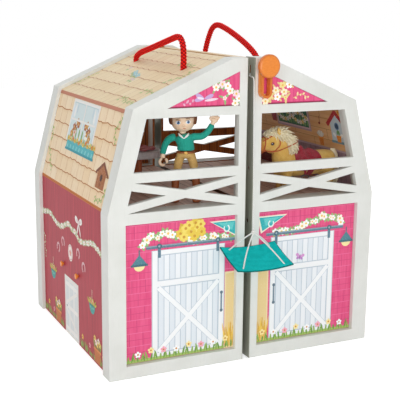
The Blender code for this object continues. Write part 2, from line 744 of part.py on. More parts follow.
def hoist_cord(body):
    """From the side of the drum through the slot into the gap, over the face and down to the knot."""
    drum_side = SHAFT_X - DRUM_R - CORD_R - CLEAR
    gap_x = HALF_GAP - CORD_R - CORD_ROOM
    thick = 2 * CORD_R
    route = [(drum_side, CORD_LINE_Y, SHAFT_Z),
             (drum_side - CORD_R, CORD_LINE_Y, SHAFT_Z - DRUM_R),
             (HALF_GAP, CORD_LINE_Y, EXIT_Z + thick),
             (gap_x, CORD_LINE_Y - thick, EXIT_Z + CORD_R),
             (gap_x, FRONT_Y + thick, EXIT_Z),
             (gap_x, FRONT_Y - CORD_R, EXIT_Z - 2 * thick)]
    knot_top = Vector((APEX_X, FRONT_Y - APEX_STANDOFF, APEX_Z + KNOT_R + CLEAR))
    bend = Vector(route[-1])
    fall = [bend.lerp(knot_top, (i + 1) / CORD_FALL_RUNS) for i in range(CORD_FALL_RUNS)]
    tube("hoist_cord", smooth_route(route, CORD_STEPS) + fall, CORD_R,
         finish_material("cord white", CORD_WHITE, 0.7), body)


# Sling: a felt sheet hung on four cords from one knot

SLING_STEPS = 14
EYELET_IN_X = 0.0085
EYELET_IN_Y = 0.0045
FOLD_RISE = 0.0016
EDGE_SAG_SHARE = 0.7


def sling_point(u, v):
    """Middle of the felt: u runs -1 to 1 from left to right, v 0 to 1 from back to front."""
    flat = 1 - u * u
    along = v * SLING_D
    sag = SLING_SAG * flat * (EDGE_SAG_SHARE + (1 - EDGE_SAG_SHARE) * math.sin(math.pi * v))
    corner = FOLD_RISE * u ** 4 * math.sin(math.pi * v)
    y = FRONT_Y - SLING_STANDOFF - along * math.cos(SLING_TILT)
    z = SLING_BACK_Z - along * math.sin(SLING_TILT) - sag - corner
    return Vector((APEX_X + u * SLING_W / 2, y, z))


def sling(body):
    felt = finish_material("teal felt", FELT_TEAL, 0.9)
    offset = Vector((0, -math.sin(SLING_TILT), math.cos(SLING_TILT))) * SLING_T / 2
    bm = bmesh.new()
    sheets = []
    for lift in (offset, -offset):
        sheets.append([[bm.verts.new(sling_point(2 * i / SLING_STEPS - 1, j / SLING_STEPS) + lift)
                        for i in range(SLING_STEPS + 1)] for j in range(SLING_STEPS + 1)])
    for sheet in sheets:
        for j in range(SLING_STEPS):
            for i in range(SLING_STEPS):
                bm.faces.new((sheet[j][i], sheet[j][i + 1], sheet[j + 1][i + 1], sheet[j + 1][i]))
    above, below = sheets
    last = SLING_STEPS
    for i in range(SLING_STEPS):
        bm.faces.new((above[0][i], above[0][i + 1], below[0][i + 1], below[0][i]))
        bm.faces.new((above[last][i], above[last][i + 1], below[last][i + 1], below[last][i]))
        bm.faces.new((above[i][0], above[i + 1][0], below[i + 1][0], below[i][0]))
        bm.faces.new((above[i][last], above[i + 1][last], below[i + 1][last], below[i][last]))
    object_from(bm, "sling", felt, body, smooth=True)
    white = finish_material("cord white", CORD_WHITE, 0.7)
    knot = Vector((APEX_X, FRONT_Y - APEX_STANDOFF, APEX_Z))
    cords = ball("sling_cords", knot, KNOT_R, white, body)
    u = 1 - 2 * EYELET_IN_X / SLING_W
    v = EYELET_IN_Y / SLING_D
    for foot_u, foot_v in ((-u, v), (u, v), (-u, 1 - v), (u, 1 - v)):
        foot = sling_point(foot_u, foot_v) + Vector((0, 0, SLING_T / 2 + CORD_R + CLEAR))
        way = (foot - knot).normalized()
        leg = bmesh.new()
        add_lofted(leg, [(knot + way * CORD_R, CORD_R, CORD_R), (foot, CORD_R, CORD_R)], 0.0, 8)
        apply_boolean(cords, cutter(leg, "sling_cord"), "UNION")


# Doll, standing just behind the left fence

DOLL_IN_SHIFT = 0.02135
DOLL_SETBACK = 0.0389
BOOT_H = 0.0262
BOOT_R = 0.0052
WAIST_H = 0.0561
LEG_SPREAD = 0.0088
HIP_SHIFT = 0.0026
LEG_R = 0.0048
SHOULDER_HALF = 0.0108
NECK_R = 0.0034
HEAD_H = 0.0887
HEAD_R = 0.0132
HAIR_T = 0.0018
ARM_L = 0.0250
ARM_R = 0.0036
HAND_R = 0.0038
HAND_L = 0.0092
DOLL_X = DOLL_IN_SHIFT - (HALF_GAP + HALF_W) / 2
BOOT_TOP_Z = LOFT_TOP_Z + BOOT_H
WAIST_Z = LOFT_TOP_Z + WAIST_H
HEAD_Z = LOFT_TOP_Z + HEAD_H
# The face is cut from the hair by a ball in front of the head: its size, its drop and the hair's end
FACE_SHARE = 1.02
FACE_DROP_SHARE = 0.30
HAIRLINE_SHARE = 0.45
# Torso stations: height from waist to neck, half depth, half width and share of the hip's shift
TORSO_SHARES = ((0.0, 0.63, 0.85, 1.0), (0.36, 0.70, 0.91, 1.0), (0.72, 0.67, 1.0, 0.4),
                (0.86, 0.54, 0.76, 0.0), (1.0, 0.35, 0.42, 0.0))
SHOULDER_SHARE = 0.72
# Seat stations: drop from the waist in leg radii, then half depth and half width
SEAT_SHARES = ((2.0, 0.57, 0.91), (1.0, 0.63, 0.96), (0.0, 0.59, 0.83))
LEG_FOOT_SHARE = 0.8
LEG_TOP_SHARE = 0.98
# Arm bends out and up from the shoulder, in arm lengths
BEND_SHARES = {"left": ((0.02, 0.03), (0.30, -0.12), (0.46, -0.44), (0.51, -0.74)),
               "right": ((0.04, 0.03), (0.33, 0.06), (0.68, 0.28), (0.93, 0.62))}
SLEEVE_SHARES = (1.0, 1.05, 0.95, 0.9)
# Hand stations: reach, half width and half thickness
HAND_SHARES = ((0.14, 0.6, 0.6), (0.41, 0.95, 0.75), (0.73, 0.95, 0.7), (1.0, 0.5, 0.45))
# Boot stations: forward lean, height, half depth and half width
BOOT_SHARES = ((0.45, 0.0, 1.35, 0.95), (0.45, 0.12, 1.40, 1.0), (0.25, 0.30, 1.10, 0.92),
               (0.0, 0.45, 0.85, 0.85), (0.0, 1.0, 0.90, 0.90))


def doll_point(x, y, z):
    return Vector((DOLL_X + x, FRONT_Y + DOLL_SETBACK + y, z))


def doll_head(neck_low, body):
    skin = finish_material("doll skin", SKIN, 0.5)
    centre = doll_point(0, 0, HEAD_Z)
    head = ball("doll_head", centre, HEAD_R, skin, body)
    neck = bmesh.new()
    add_turned(neck, [(NECK_R, 0.0), (NECK_R, 2 * NECK_R)], doll_point(0, 0, neck_low), (0, 0, 1), 14)
    apply_boolean(head, cutter(neck, "doll_neck"), "UNION")
    hair = ball("doll_hair", centre, HEAD_R + HAIR_T, finish_material("doll hair", HAIR_BROWN, 0.6), body)
    face_centre = centre + Vector((0, -HEAD_R, -HEAD_R * FACE_DROP_SHARE))
    apply_boolean(hair, cutter(ball_mesh(centre, HEAD_R + CLEAR), "hair_inside"))
    apply_boolean(hair, cutter(ball_mesh(face_centre, HEAD_R * FACE_SHARE), "hair_face"))
    below = bmesh.new()
    reach = HEAD_R + HAIR_T + OVERRUN
    add_prism(below, rectangle(DOLL_X - reach, DOLL_X + reach, HEAD_Z - reach,
                               HEAD_Z - HEAD_R * HAIRLINE_SHARE), centre.y - reach, centre.y + reach)
    apply_boolean(hair, cutter(below, "hair_end"))


def doll_sweater(neck_low, body):
    """The torso and the two arms with their hands. Each arm is cut back from the torso."""
    jersey = finish_material("teal jersey", FELT_TEAL, 0.9)
    low, high = WAIST_Z + CLEAR, neck_low - CLEAR
    torso = [(doll_point(HIP_SHIFT * lean, 0, low + (high - low) * rise), SHOULDER_HALF * deep,
              SHOULDER_HALF * wide)
             for rise, deep, wide, lean in TORSO_SHARES]
    lofted("doll_sweater", torso, jersey, body)
    torso_clear = bmesh.new()
    add_lofted(torso_clear, torso, CLEAR)
    torso_cutter = cutter(torso_clear, "doll_torso_clearance")
    shoulder_z = low + (high - low) * SHOULDER_SHARE
    for side, sign in SIDES:
        points = [doll_point(sign * (SHOULDER_HALF + ARM_L * out), 0, shoulder_z + ARM_L * rise)
                  for out, rise in BEND_SHARES[side]]
        sleeve = [(point, ARM_R * fat, ARM_R * fat) for point, fat in zip(points, SLEEVE_SHARES)]
        way = (points[-1] - points[-2]).normalized()
        hand = [(points[-1] + way * HAND_L * reach, HAND_R * wide, HAND_R * thick)
                for reach, wide, thick in HAND_SHARES]
        arm = lofted(f"doll_{side}_arm", sleeve + hand, jersey, body, 12)
        apply_boolean(arm, torso_cutter)


def doll_legs(body):
    cloth = finish_material("tan cloth", TROUSER_TAN, 0.9)
    leather = finish_material("boot brown", BOOT_BROWN, 0.45)
    seat = [(doll_point(HIP_SHIFT, 0, WAIST_Z - LEG_R * drop), SHOULDER_HALF * deep, SHOULDER_HALF * wide)
            for drop, deep, wide in SEAT_SHARES]
    trousers = lofted("doll_trousers", seat, cloth, body)
    legs = bmesh.new()
    hips = WAIST_Z - LEG_R
    floor = LOFT_TOP_Z + CLEAR
    height = BOOT_TOP_Z - floor
    for side, sign in SIDES:
        x = HIP_SHIFT + sign * LEG_SPREAD
        foot_r = LEG_R * LEG_FOOT_SHARE
        add_lofted(legs, [(doll_point(x, 0, BOOT_TOP_Z + CLEAR), foot_r, foot_r),
                          (doll_point(x, 0, (BOOT_TOP_Z + hips) / 2), LEG_R, LEG_R),
                          (doll_point(HIP_SHIFT + sign * LEG_R, 0, hips), LEG_R, LEG_R * LEG_TOP_SHARE)],
                   0.0, 12)
        boot = [(doll_point(x, -BOOT_R * lean, floor + height * rise), BOOT_R * deep, BOOT_R * wide)
                for lean, rise, deep, wide in BOOT_SHARES]
        lofted(f"doll_{side}_boot", boot, leather, body, 12)
    apply_boolean(trousers, cutter(legs, "doll_legs"), "UNION")


def doll(body, head_body):
    neck_low = HEAD_Z - HEAD_R - NECK_R
    doll_head(neck_low, head_body)
    doll_sweater(neck_low, body)
    doll_legs(body)


# Pony, standing behind the right fence with its head to the left

PONY_TO_SIDE = 0.0662
PONY_SETBACK = 0.0400
PONY_H = 0.0445
PONY_GIRTH = 0.0135
SADDLE_T = 0.0020
MANE_R = 0.0062
PONY_X = HALF_W - PONY_TO_SIDE
PONY_TOP_Z = LOFT_TOP_Z + PONY_H
# Stations along the body and the neck: distance from the pony's middle, drop from its back line,
# half width and half height, each as a share of the girth
BARREL_SHARES = ((-2.75, 1.05, 0.45, 0.50), (-2.35, 0.98, 0.80, 0.88), (-1.4, 0.98, 0.95, 1.00),
                 (0.0, 0.98, 0.98, 1.02), (1.5, 0.92, 0.98, 1.00), (2.5, 0.92, 0.85, 0.90),
                 (2.95, 1.05, 0.45, 0.50))
NECK_SHARES = ((-1.85, 1.19, 0.66, 0.92), (-2.2, 0.37, 0.62, 0.80), (-2.3, -0.43, 0.56, 0.70),
               (-2.55, -1.04, 0.55, 0.62))
HEAD_SHARES = ((-2.52, -1.15, 0.45, 0.45), (-2.96, -1.0, 0.64, 0.68), (-3.52, -0.85, 0.60, 0.66),
               (-4.04, -0.67, 0.50, 0.52), (-4.41, -0.58, 0.40, 0.42), (-4.59, -0.54, 0.25, 0.26))
# Leg stations: fall from the leg's top to the floor, half width and half depth
LEG_TOP_DROP_SHARE = 1.2
LEG_SHARES = ((0.0, 0.62, 0.70), (0.40, 0.36, 0.40), (0.68, 0.27, 0.29), (0.86, 0.29, 0.30),
              (0.88, 0.34, 0.35), (1.0, 0.38, 0.39))
# Where the legs stand: along and across the body
LEG_PLACE_SHARES = ((-2.0, -0.55), (-2.0, 0.55), (2.1, -0.55), (2.1, 0.55))
# Mane and tail: along, drop and radius
MANE_SHARES = ((-1.13, 0.11, 0.90), (-1.22, -0.41, 1.22), (-1.44, -0.96, 1.26), (-1.89, -1.48, 1.19),
               (-2.56, -1.72, 1.06), (-3.30, -1.67, 0.94), (-3.85, -1.52, 0.65))
TAIL_SHARES = ((2.55, 0.02, 0.45), (2.95, 0.15, 0.7), (3.2, 0.75, 0.75), (3.3, 1.6, 0.75), (3.3, 2.4, 0.7),
               (3.2, 2.95, 0.3))
SADDLE_SHARES = ((-1.30, 0.98, 0.952, 1.001), (-0.1, 0.98, 0.98, 1.02), (1.13, 0.935, 0.98, 1.005))
SADDLE_SKIRT_SHARE = 1.04


def pony_point(along_share, side_share, drop_share):
    return Vector((PONY_X + along_share * PONY_GIRTH, FRONT_Y + PONY_SETBACK + side_share * PONY_GIRTH,
                   PONY_TOP_Z - drop_share * PONY_GIRTH))


def pony_stations(shares):
    return [(pony_point(along, 0.0, drop), wide * PONY_GIRTH, high * PONY_GIRTH)
            for along, drop, wide, high in shares]


def leg_stations(along, side):
    top = PONY_TOP_Z - PONY_GIRTH * LEG_TOP_DROP_SHARE
    floor = LOFT_TOP_Z + CLEAR
    place = pony_point(along, side, 0.0)
    return [(Vector((place.x, place.y, top + (floor - top) * fall)), wide * PONY_GIRTH, deep * PONY_GIRTH)
            for fall, wide, deep in LEG_SHARES]


def add_pony_shape(bm_list, grow):
    """The coat's overlapping shapes: one mesh each, so they can be joined or cut in turn."""
    for shares in (BARREL_SHARES, NECK_SHARES, HEAD_SHARES):
        bm = bmesh.new()
        add_lofted(bm, pony_stations(shares), grow, 16)
        bm_list.append(bm)
    legs = bmesh.new()
    for along, side in LEG_PLACE_SHARES:
        add_lofted(legs, leg_stations(along, side), grow, 10)
    bm_list.append(legs)


def pony(body):
    coat = finish_material("pony coat", COAT_CREAM, 0.85)
    hair = finish_material("pony hair", MANE_CREAM, 0.9)
    cloth = finish_material("saddle red", SADDLE_RED, 0.85)
    shapes = []
    add_pony_shape(shapes, 0.0)
    coat_object = object_from(shapes[0], "pony_body", coat, body, smooth=True)
    for i, shape in enumerate(shapes[1:]):
        apply_boolean(coat_object, cutter(shape, f"pony_shape_{i}"), "UNION")
    grown = []
    add_pony_shape(grown, CLEAR)
    clearances = [cutter(shape, f"pony_clearance_{i}") for i, shape in enumerate(grown)]
    mane_path = [(pony_point(along, 0.0, drop), MANE_R * fat, MANE_R * fat)
                 for along, drop, fat in MANE_SHARES]
    tail_path = [(pony_point(along, 0.0, drop), MANE_R * fat, MANE_R * fat)
                 for along, drop, fat in TAIL_SHARES]
    mane = lofted("pony_mane", mane_path, hair, body, 12)
    tail = lofted("pony_tail", tail_path, hair, body, 12)
    saddle = lofted("pony_saddle", pony_stations(SADDLE_SHARES), cloth, body, 16, SADDLE_T)
    skirt = bmesh.new()
    skirt_line = pony_point(0.0, 0.0, SADDLE_SKIRT_SHARE)
    first, last = (pony_point(SADDLE_SHARES[i][0], 0.0, 0.0).x for i in (0, -1))
    reach = PONY_GIRTH + SADDLE_T + OVERRUN
    add_prism(skirt, rectangle(first - reach, last + reach, LOFT_TOP_Z, skirt_line.z),
              skirt_line.y - reach, skirt_line.y + reach)
    apply_boolean(saddle, cutter(skirt, "saddle_skirt_line"))
    round_mane = bmesh.new()
    add_lofted(round_mane, mane_path, CLEAR, 12)
    under_mane = cutter(round_mane, "mane_clearance")
    for piece, tools in ((mane, clearances[:3]), (tail, clearances[:1]), (saddle, clearances + [under_mane])):
        for tool in tools:
            apply_boolean(piece, tool)


# Small round table in the left loft, turned in one piece

TABLE_X = -0.0525
TABLE_Y = 0.0499
TABLE_R = 0.0270
TABLE_H = 0.0337
TABLE_T = 0.0085
TABLE_EDGE = 0.0008
TABLE_LEG_R = 0.0050
TABLE_FOOT_R = 0.0140
TABLE_FOOT_T = 0.0025


def small_table(body):
    grey = finish_material("table grey", TABLE_GREY, 0.55)
    edge = TABLE_EDGE
    profile = [(TABLE_FOOT_R, 0.0), (TABLE_FOOT_R, TABLE_FOOT_T - edge), (TABLE_FOOT_R - edge, TABLE_FOOT_T),
               (TABLE_LEG_R, TABLE_FOOT_T), (TABLE_LEG_R, TABLE_H - TABLE_T),
               (TABLE_R - edge, TABLE_H - TABLE_T), (TABLE_R, TABLE_H - TABLE_T + edge),
               (TABLE_R, TABLE_H - edge), (TABLE_R - edge, TABLE_H)]
    turned("loft_table", profile, (TABLE_X, MID_Y + TABLE_Y, LOFT_TOP_Z + CLEAR), (0, 0, 1), grey, body,
           ROUND_SIDES)


def build():
    clear_scene()
    left = body_axis("left_half_axis", (0, 0, 0))
    right = body_axis("right_half_axis", (0, HINGE_AXIS_Y, 0))
    knob = body_axis("knob_axis", (SHAFT_X, FRONT_Y, SHAFT_Z))
    loop = body_axis("latch_axis", (SHAFT_X, FRONT_Y, SHAFT_Z))
    hoist = body_axis("sling_axis", (APEX_X, FRONT_Y - APEX_STANDOFF, APEX_Z))
    head = body_axis("doll_head_axis", tuple(doll_point(0, 0, HEAD_Z)))
    bodies = {"left": left, "right": right}
    ropes = {"left": LEFT_ROPE, "right": RIGHT_ROPE}
    for side, sign in SIDES:
        body = bodies[side]
        frame_and_panels(side, sign, "front", FRONT_Y, 1, body)
        frame_and_panels(side, sign, "back", BACK_Y, -1, body)
        magnets(side, sign, body)
        wall_and_roof(side, sign, body)
        floors(side, sign, body)
        rope_handle(side, sign, ropes[side], body)
    hinges(left, right)
    hoist_turning_parts(knob)
    latch_loop(loop)
    hoist_cord(right)
    sling(hoist)
    doll(left, head)
    pony(right)
    small_table(left)


build()
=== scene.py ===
from contextlib import contextmanager
from math import atan2, cos, degrees, exp, hypot, pi, radians, sin, sqrt

import bmesh
import bpy
import numpy as np
from mathutils import Matrix, Vector
from mathutils.bvhtree import BVHTree


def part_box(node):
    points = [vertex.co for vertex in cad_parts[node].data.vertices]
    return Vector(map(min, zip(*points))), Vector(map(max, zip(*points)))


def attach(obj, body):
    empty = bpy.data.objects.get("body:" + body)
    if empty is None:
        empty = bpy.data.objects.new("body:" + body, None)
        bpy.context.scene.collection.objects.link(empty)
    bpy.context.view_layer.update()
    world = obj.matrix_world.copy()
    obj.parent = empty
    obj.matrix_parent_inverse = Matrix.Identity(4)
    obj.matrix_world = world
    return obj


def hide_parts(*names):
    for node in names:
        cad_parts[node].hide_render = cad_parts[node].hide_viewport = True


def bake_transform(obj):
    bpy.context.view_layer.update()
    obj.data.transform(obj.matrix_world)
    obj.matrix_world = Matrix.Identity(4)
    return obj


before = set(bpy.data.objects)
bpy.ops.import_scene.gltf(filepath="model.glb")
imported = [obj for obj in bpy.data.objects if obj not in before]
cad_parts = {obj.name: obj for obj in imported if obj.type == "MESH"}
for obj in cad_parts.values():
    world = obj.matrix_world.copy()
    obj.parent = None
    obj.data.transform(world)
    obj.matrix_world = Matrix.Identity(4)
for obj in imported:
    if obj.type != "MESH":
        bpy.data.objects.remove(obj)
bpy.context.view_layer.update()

HALVES = (("left", -1), ("right", 1))


# Camera: it stands in front of the barn and to its left, a little above the loft,
# with the long lens of a catalogue picture.
bpy.ops.object.camera_add(location=(-0.44799, -0.93814, 0.38234), rotation=[radians(a)
    for a in (77.6103, -0.5685, -25.2628)])
camera = bpy.context.object
camera.data.lens = 82.28
camera.data.sensor_width = 36
bpy.context.scene.camera = camera
bpy.context.scene.view_settings.view_transform = "Standard"


# Floor and light: a pale sheet of paper under the toy and soft boxes round it.
# The paper and the air are white to the eye, and the soft boxes stay at a plain level.
def ink(code):
    """A colour written as six hexadecimal digits, as the shaders want it."""
    parts = [int(code[i:i + 2], 16) / 255 for i in (0, 2, 4)]
    return [c / 12.92 if c <= 0.04045 else ((c + 0.055) / 1.055) ** 2.4 for c in parts] + [1.0]


def put(kind, *into, out=0, **named):
    """Adds one shader node to the tree that is being made. Values and links go in by place or by
    socket name, colours as six hexadecimal digits, settings in lower case."""
    made = tree.nodes.new("ShaderNode" + kind)
    for key in [key for key in named if key[0].islower()]:
        setattr(made, key, named.pop(key))
    for socket, value in [*zip(made.inputs, into), *((made.inputs[key], named[key]) for key in named)]:
        if isinstance(value, bpy.types.NodeSocket):
            tree.links.new(value, socket)
        elif value is not None:
            socket.default_value = ink(value) if isinstance(value, str) else value
    return made.outputs[out]


def calc(how, *into):
    """One step of arithmetic."""
    return put("Math", *into, operation=how)


def ramp(value, *ends):
    """A value carried from one range to another."""
    return put("MapRange", value, *ends)


def scaled(place, by):
    """A place stretched along each axis."""
    return put("VectorMath", place, by, operation="MULTIPLY")


def distance(place, to):
    """How far a place lies from another."""
    return put("VectorMath", place, to, operation="DISTANCE", out=1)


def cell(value, width):
    """The number of the strip that a value lies in."""
    return calc("FLOOR", calc("DIVIDE", value, width))


def axes(place):
    """The three parts of a place."""
    return put("SeparateXYZ", place).node.outputs


def seen():
    """1 where the eye, a mirror or glass looks, and 0 for the light that falls on the toy."""
    rays = put("LightPath").node.outputs
    both = calc("MAXIMUM", rays["Is Camera Ray"], rays["Is Glossy Ray"])
    return calc("MAXIMUM", both, rays["Is Transmission Ray"])


air = bpy.data.worlds.new("studio_air")
bpy.context.scene.world = air
air.use_nodes = True
tree = air.node_tree
sky = put("Background", "f4f5f6", 0.58)
white = put("Background", (1, 1, 1, 1), 1.0)
tree.links.new(put("MixShader", seen(), sky, white), tree.nodes["World Output"].inputs[0])

for name, place, turn, size, watts in (("key_box", (-1.62, -1.28, 0.90), (70, 0, -51.7), 1.2, 4.8),
        ("fill_box", (1.3, -1.4, 0.8), (70, 0, 43), 1.1, 1.8), ("top_box", (0.1, 0.5, 1.9), (-14, 0, 0), 1.0, 7.0),
        ("low_box", (-0.45, -1.35, 0.42), (82, 0, -18), 0.7, 6.5)):
    bpy.ops.object.light_add(type="AREA", location=place, rotation=[radians(a) for a in turn])
    lamp = bpy.context.object
    lamp.name = name
    lamp.data.size = size
    lamp.data.energy = watts

bpy.ops.mesh.primitive_circle_add(vertices=64, radius=3.0, fill_type="NGON", location=(0, 0, -0.0003))
paper = bpy.context.object
paper.name = "paper_floor"
sheet = bpy.data.materials.new("white_paper")
sheet.use_nodes = True
tree = sheet.node_tree
shader = tree.nodes["Principled BSDF"]
shader.inputs["Base Color"].default_value = ink("f2f2f2")
shader.inputs["Roughness"].default_value = 0.9
glow = put("Emission", (1, 1, 1, 1), 0.6)
both = put("AddShader", shader.outputs[0], glow)
tree.links.new(put("MixShader", seen(), shader.outputs[0], both), tree.nodes["Material Output"].inputs[0])
paper.data.materials.append(sheet)


# Carrying ropes: one 7 mm braided rope over each half. Both ends go down through the upper
# roof and are tied in a knot under it; the rope lies free between its two holes.
def spline(rows, steps_between):
    """Rows on a smooth curve through the given rows; steps_between counts the steps from one to the next."""
    ends = [rows[0] * 2 - rows[1]] + rows + [rows[-1] * 2 - rows[-2]]
    made = []
    for before, here, there, after in zip(ends, ends[1:], ends[2:], ends[3:]):
        steps = steps_between(here, there)
        for k in range(steps):
            t = k / steps
            made.append(0.5 * (2 * here + (there - before) * t + (2 * before - 5 * here + 4 * there - after) * t ** 2
                + (3 * here - before - 3 * there + after) * t ** 3))
    return made + [rows[-1]]


def smooth_route(points, steps):
    """Points of a smooth curve through a route's own points."""
    return spline([Vector(point) for point in points], lambda here, there: steps)


@contextmanager
def editing(select="DESELECT"):
    """Edit mode on the active piece, which starts with all or nothing selected."""
    bpy.ops.object.mode_set(mode="EDIT")
    bpy.ops.mesh.select_all(action=select)
    yield bmesh.from_edit_mesh(bpy.context.object.data)
    bmesh.update_edit_mesh(bpy.context.object.data)
    bpy.ops.object.mode_set(mode="OBJECT")


def added(name, kind, **how):
    """A new piece from one of Blender's own forms."""
    getattr(bpy.ops.mesh, f"primitive_{kind}_add")(**how)
    bpy.context.object.name = name
    return bpy.context.object


def place_points(piece, places):
    """Puts every vertex in its place."""
    piece.data.vertices.foreach_set("co", np.asarray(places).ravel())
    piece.data.update()


def tube(name, points, sides, start):
    """A closed rod with a ring of vertices for each point. It comes with each vertex's ring and turn
    and, for each point, two directions across the rod, of which the first sets out from start."""
    rod = added(name, "cylinder", vertices=sides, radius=1, depth=1)
    with editing() as bm:
        upright = [e for e in bm.edges if abs(e.verts[0].co.z - e.verts[1].co.z) > 0.5]
        bmesh.ops.subdivide_edges(bm, edges=upright, cuts=len(points) - 2, use_grid_fill=False)
    co = np.array([v.co for v in rod.data.vertices])
    ahead = np.gradient(points, axis=0)
    ahead /= np.linalg.norm(ahead, axis=1)[:, None]
    side = []
    for way in ahead:
        start = start - way * (start @ way)
        start = start / np.linalg.norm(start)
        side.append(start)
    ring = np.rint((co[:, 2] + 0.5) * (len(points) - 1)).astype(int)
    return rod, ring, np.arctan2(co[:, 1], co[:, 0]), np.array(side), np.cross(ahead, side)


def laid_cord(name, route, radius, step, sides, lay):
    """A cord's mesh along a route: rings a step apart, each shaped by lay(turn, distance), 0 in a
    groove and 1 on a ridge. The ridge value is kept for the material."""
    flat = np.array(route)
    gone = np.concatenate([[0], np.cumsum(np.linalg.norm(np.diff(flat, axis=0), axis=1))])
    stops = np.linspace(0, gone[-1], max(2, round(gone[-1] / step)) + 1)
    middle = np.stack([np.interp(stops, gone, flat[:, k]) for k in range(3)], 1)
    for _ in range(6):
        middle[1:-1] = (middle[:-2] + 2 * middle[1:-1] + middle[2:]) / 4
    cord, ring, turn, side, across = tube(name, middle, sides, np.cross(middle[1] - middle[0], (0.3, 1.0, 0.2)))
    ridge = lay(turn, stops[ring])
    out = radius * (0.80 + 0.22 * ridge)
    place_points(cord, middle[ring] + side[ring] * (out * np.cos(turn))[:, None] + across[ring]
        * (out * np.sin(turn))[:, None])
    cord.data.attributes.new("ridge", "FLOAT", "POINT").data.foreach_set("value", ridge)
    cord.data.shade_smooth()
    return cord, [list(p) for p in middle]


def knotted(name, centre, reach, dip, rise, radius, step, sides, lay):
    """A cord's mesh tied in an overhand knot round a centre."""
    turns = [2 * pi * k / 60 for k in range(61)]
    return laid_cord(name, [centre + Vector(((reach - dip * cos(3 * a)) * cos(2 * a),
        (reach - dip * cos(3 * a)) * sin(2 * a), rise * sin(3 * a))) for a in turns], radius, step, sides, lay)[0]


def done(piece, material, body, slot, *nodes):
    """Paints a finished piece, mounts it on its body and lets it stand for its CAD nodes."""
    piece.data.materials.clear()
    piece.data.materials.append(material)
    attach(piece, body)
    if nodes:
        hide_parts(*nodes)
    return piece


def braid(turn, gone):
    """Two families of strands that pass over and under each other."""
    pitch = 2 * pi / 0.0145
    one, two = 4 * (turn + pitch * gone), 4 * (turn - pitch * gone)
    over = np.sin((one + two) / 2) * np.sin((one - two) / 2) > 0
    return np.where(over, 0.5 + 0.5 * np.cos(one), 0.5 + 0.5 * np.cos(two)) ** 0.7


def finish(name, rough=0.5, specular=0.5, **plain):
    """Starts a new material with plain values on its shader. It comes with its Object coordinates."""
    global tree
    made = bpy.data.materials.new(name)
    made.use_nodes = True
    tree = made.node_tree
    for key, value in {"Roughness": rough, "Specular_IOR_Level": specular, **plain}.items():
        tree.nodes["Principled BSDF"].inputs[key.replace("_", " ")].default_value = value
    return made, put("TexCoord", out=3)


def over(mask, under, top, how="MIX"):
    """One colour painted over another where the mask is 1."""
    return put("Mix", mask, None, None, None, None, None, under, top, data_type="RGBA", blend_type=how, out=2)


def noise(place, scale, detail):
    """Cloudy noise all through a piece."""
    return put("TexNoise", Vector=place, Scale=scale, Detail=detail)


def mottle(place, scale, low=0.0, high=1.0, detail=3.0):
    """Fine uneven patches between two values, all over a piece."""
    return ramp(noise(place, scale, detail), 0.3, 0.7, low, high)


def surface(colour, height, distance, strength=1.0):
    """Gives the material its colour, and a relief where a pattern raises it by the distance."""
    bump = put("Bump", Strength=strength, Distance=distance, Height=height)
    for name, value in (("Base Color", colour), ("Normal", bump)):
        tree.links.new(value, tree.nodes["Principled BSDF"].inputs[name])


red_rope, place = finish("red_braid", 0.75, 0.2)
ridge = put("Attribute", attribute_name="ridge", out=2)
fuzz = mottle(place, 900, 0.85, 1.25)
# The grooves between the strands are painted dark red as painted shade; the ridges keep the rope's own red.
lit = ramp(calc("MULTIPLY", ridge, fuzz), 0.12, 0.58)
strand = over(lit, "6e0204", "ff1a14")
surface(strand, noise(place, 2600, 2), 0.0002)

ROPES = {"left": (-1, [(-0.0655, -0.0050), (-0.0640, 0.0080), (-0.0580, 0.0160), (-0.0480, 0.0175), (-0.0300, 0.0140),
    (0.0000, 0.0075), (0.0300, 0.0010), (0.0560, -0.0045), (0.0690, -0.0090)]), "right": (1,
    [(-0.0640, -0.0090), (-0.0570, -0.0015), (-0.0380, 0.0075), (-0.0120, 0.0165), (0.0150, 0.0240), (0.0360, 0.0275),
    (0.0500, 0.0240), (0.0600, 0.0135), (0.0685, -0.0010)])}
for half, (sign, bends) in ROPES.items():
    x = sign * 0.0452
    way = ([(x, -0.044898, 0.304798), (x, -0.044898, 0.312298)] + [(x, 0.020102 + y, 0.325 + rise)
        for y, rise in bends] + [(x, 0.092402, 0.312298), (x, 0.092402, 0.304798)])
    rope, line = laid_cord(f"{half}_carrying_rope", smooth_route(way, 6), 0.0035, 0.0005, 28, braid)
    for end in ("front", "back"):
        low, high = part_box(f"{half}_{end}_rope_knot")
        knot = knotted(f"{half}_{end}_knot", (low + high) / 2, (high.x - low.x) / 2 - 0.0022, 0.0006, 0.0030, 0.0028,
            0.00055, 20, braid)
        done(knot, red_rope, f"{half}_half", "red_rope", f"{half}_{end}_rope_knot")
    done(rope, red_rope, f"{half}_half", "red_rope", f"{half}_rope_handle")


# Hoist cord: a thin white twisted cord that comes off the drum, leaves the gap between the
# halves and hangs down to the knot over the sling.
def twist(turn, gone):
    """Three strands laid round each other."""
    return 0.5 + 0.5 * np.cos(3 * (turn + gone * 2 * pi / 0.0055))


thread_white, place = finish("white_thread", 0.8, 0.2)
ridge = put("Attribute", attribute_name="ridge", out=2)
# The grooves between the plies are painted grey as painted shade.
surface(over(ridge, "c9c8c2", "fafaf7"), noise(place, 4000, 2), 0.0001)

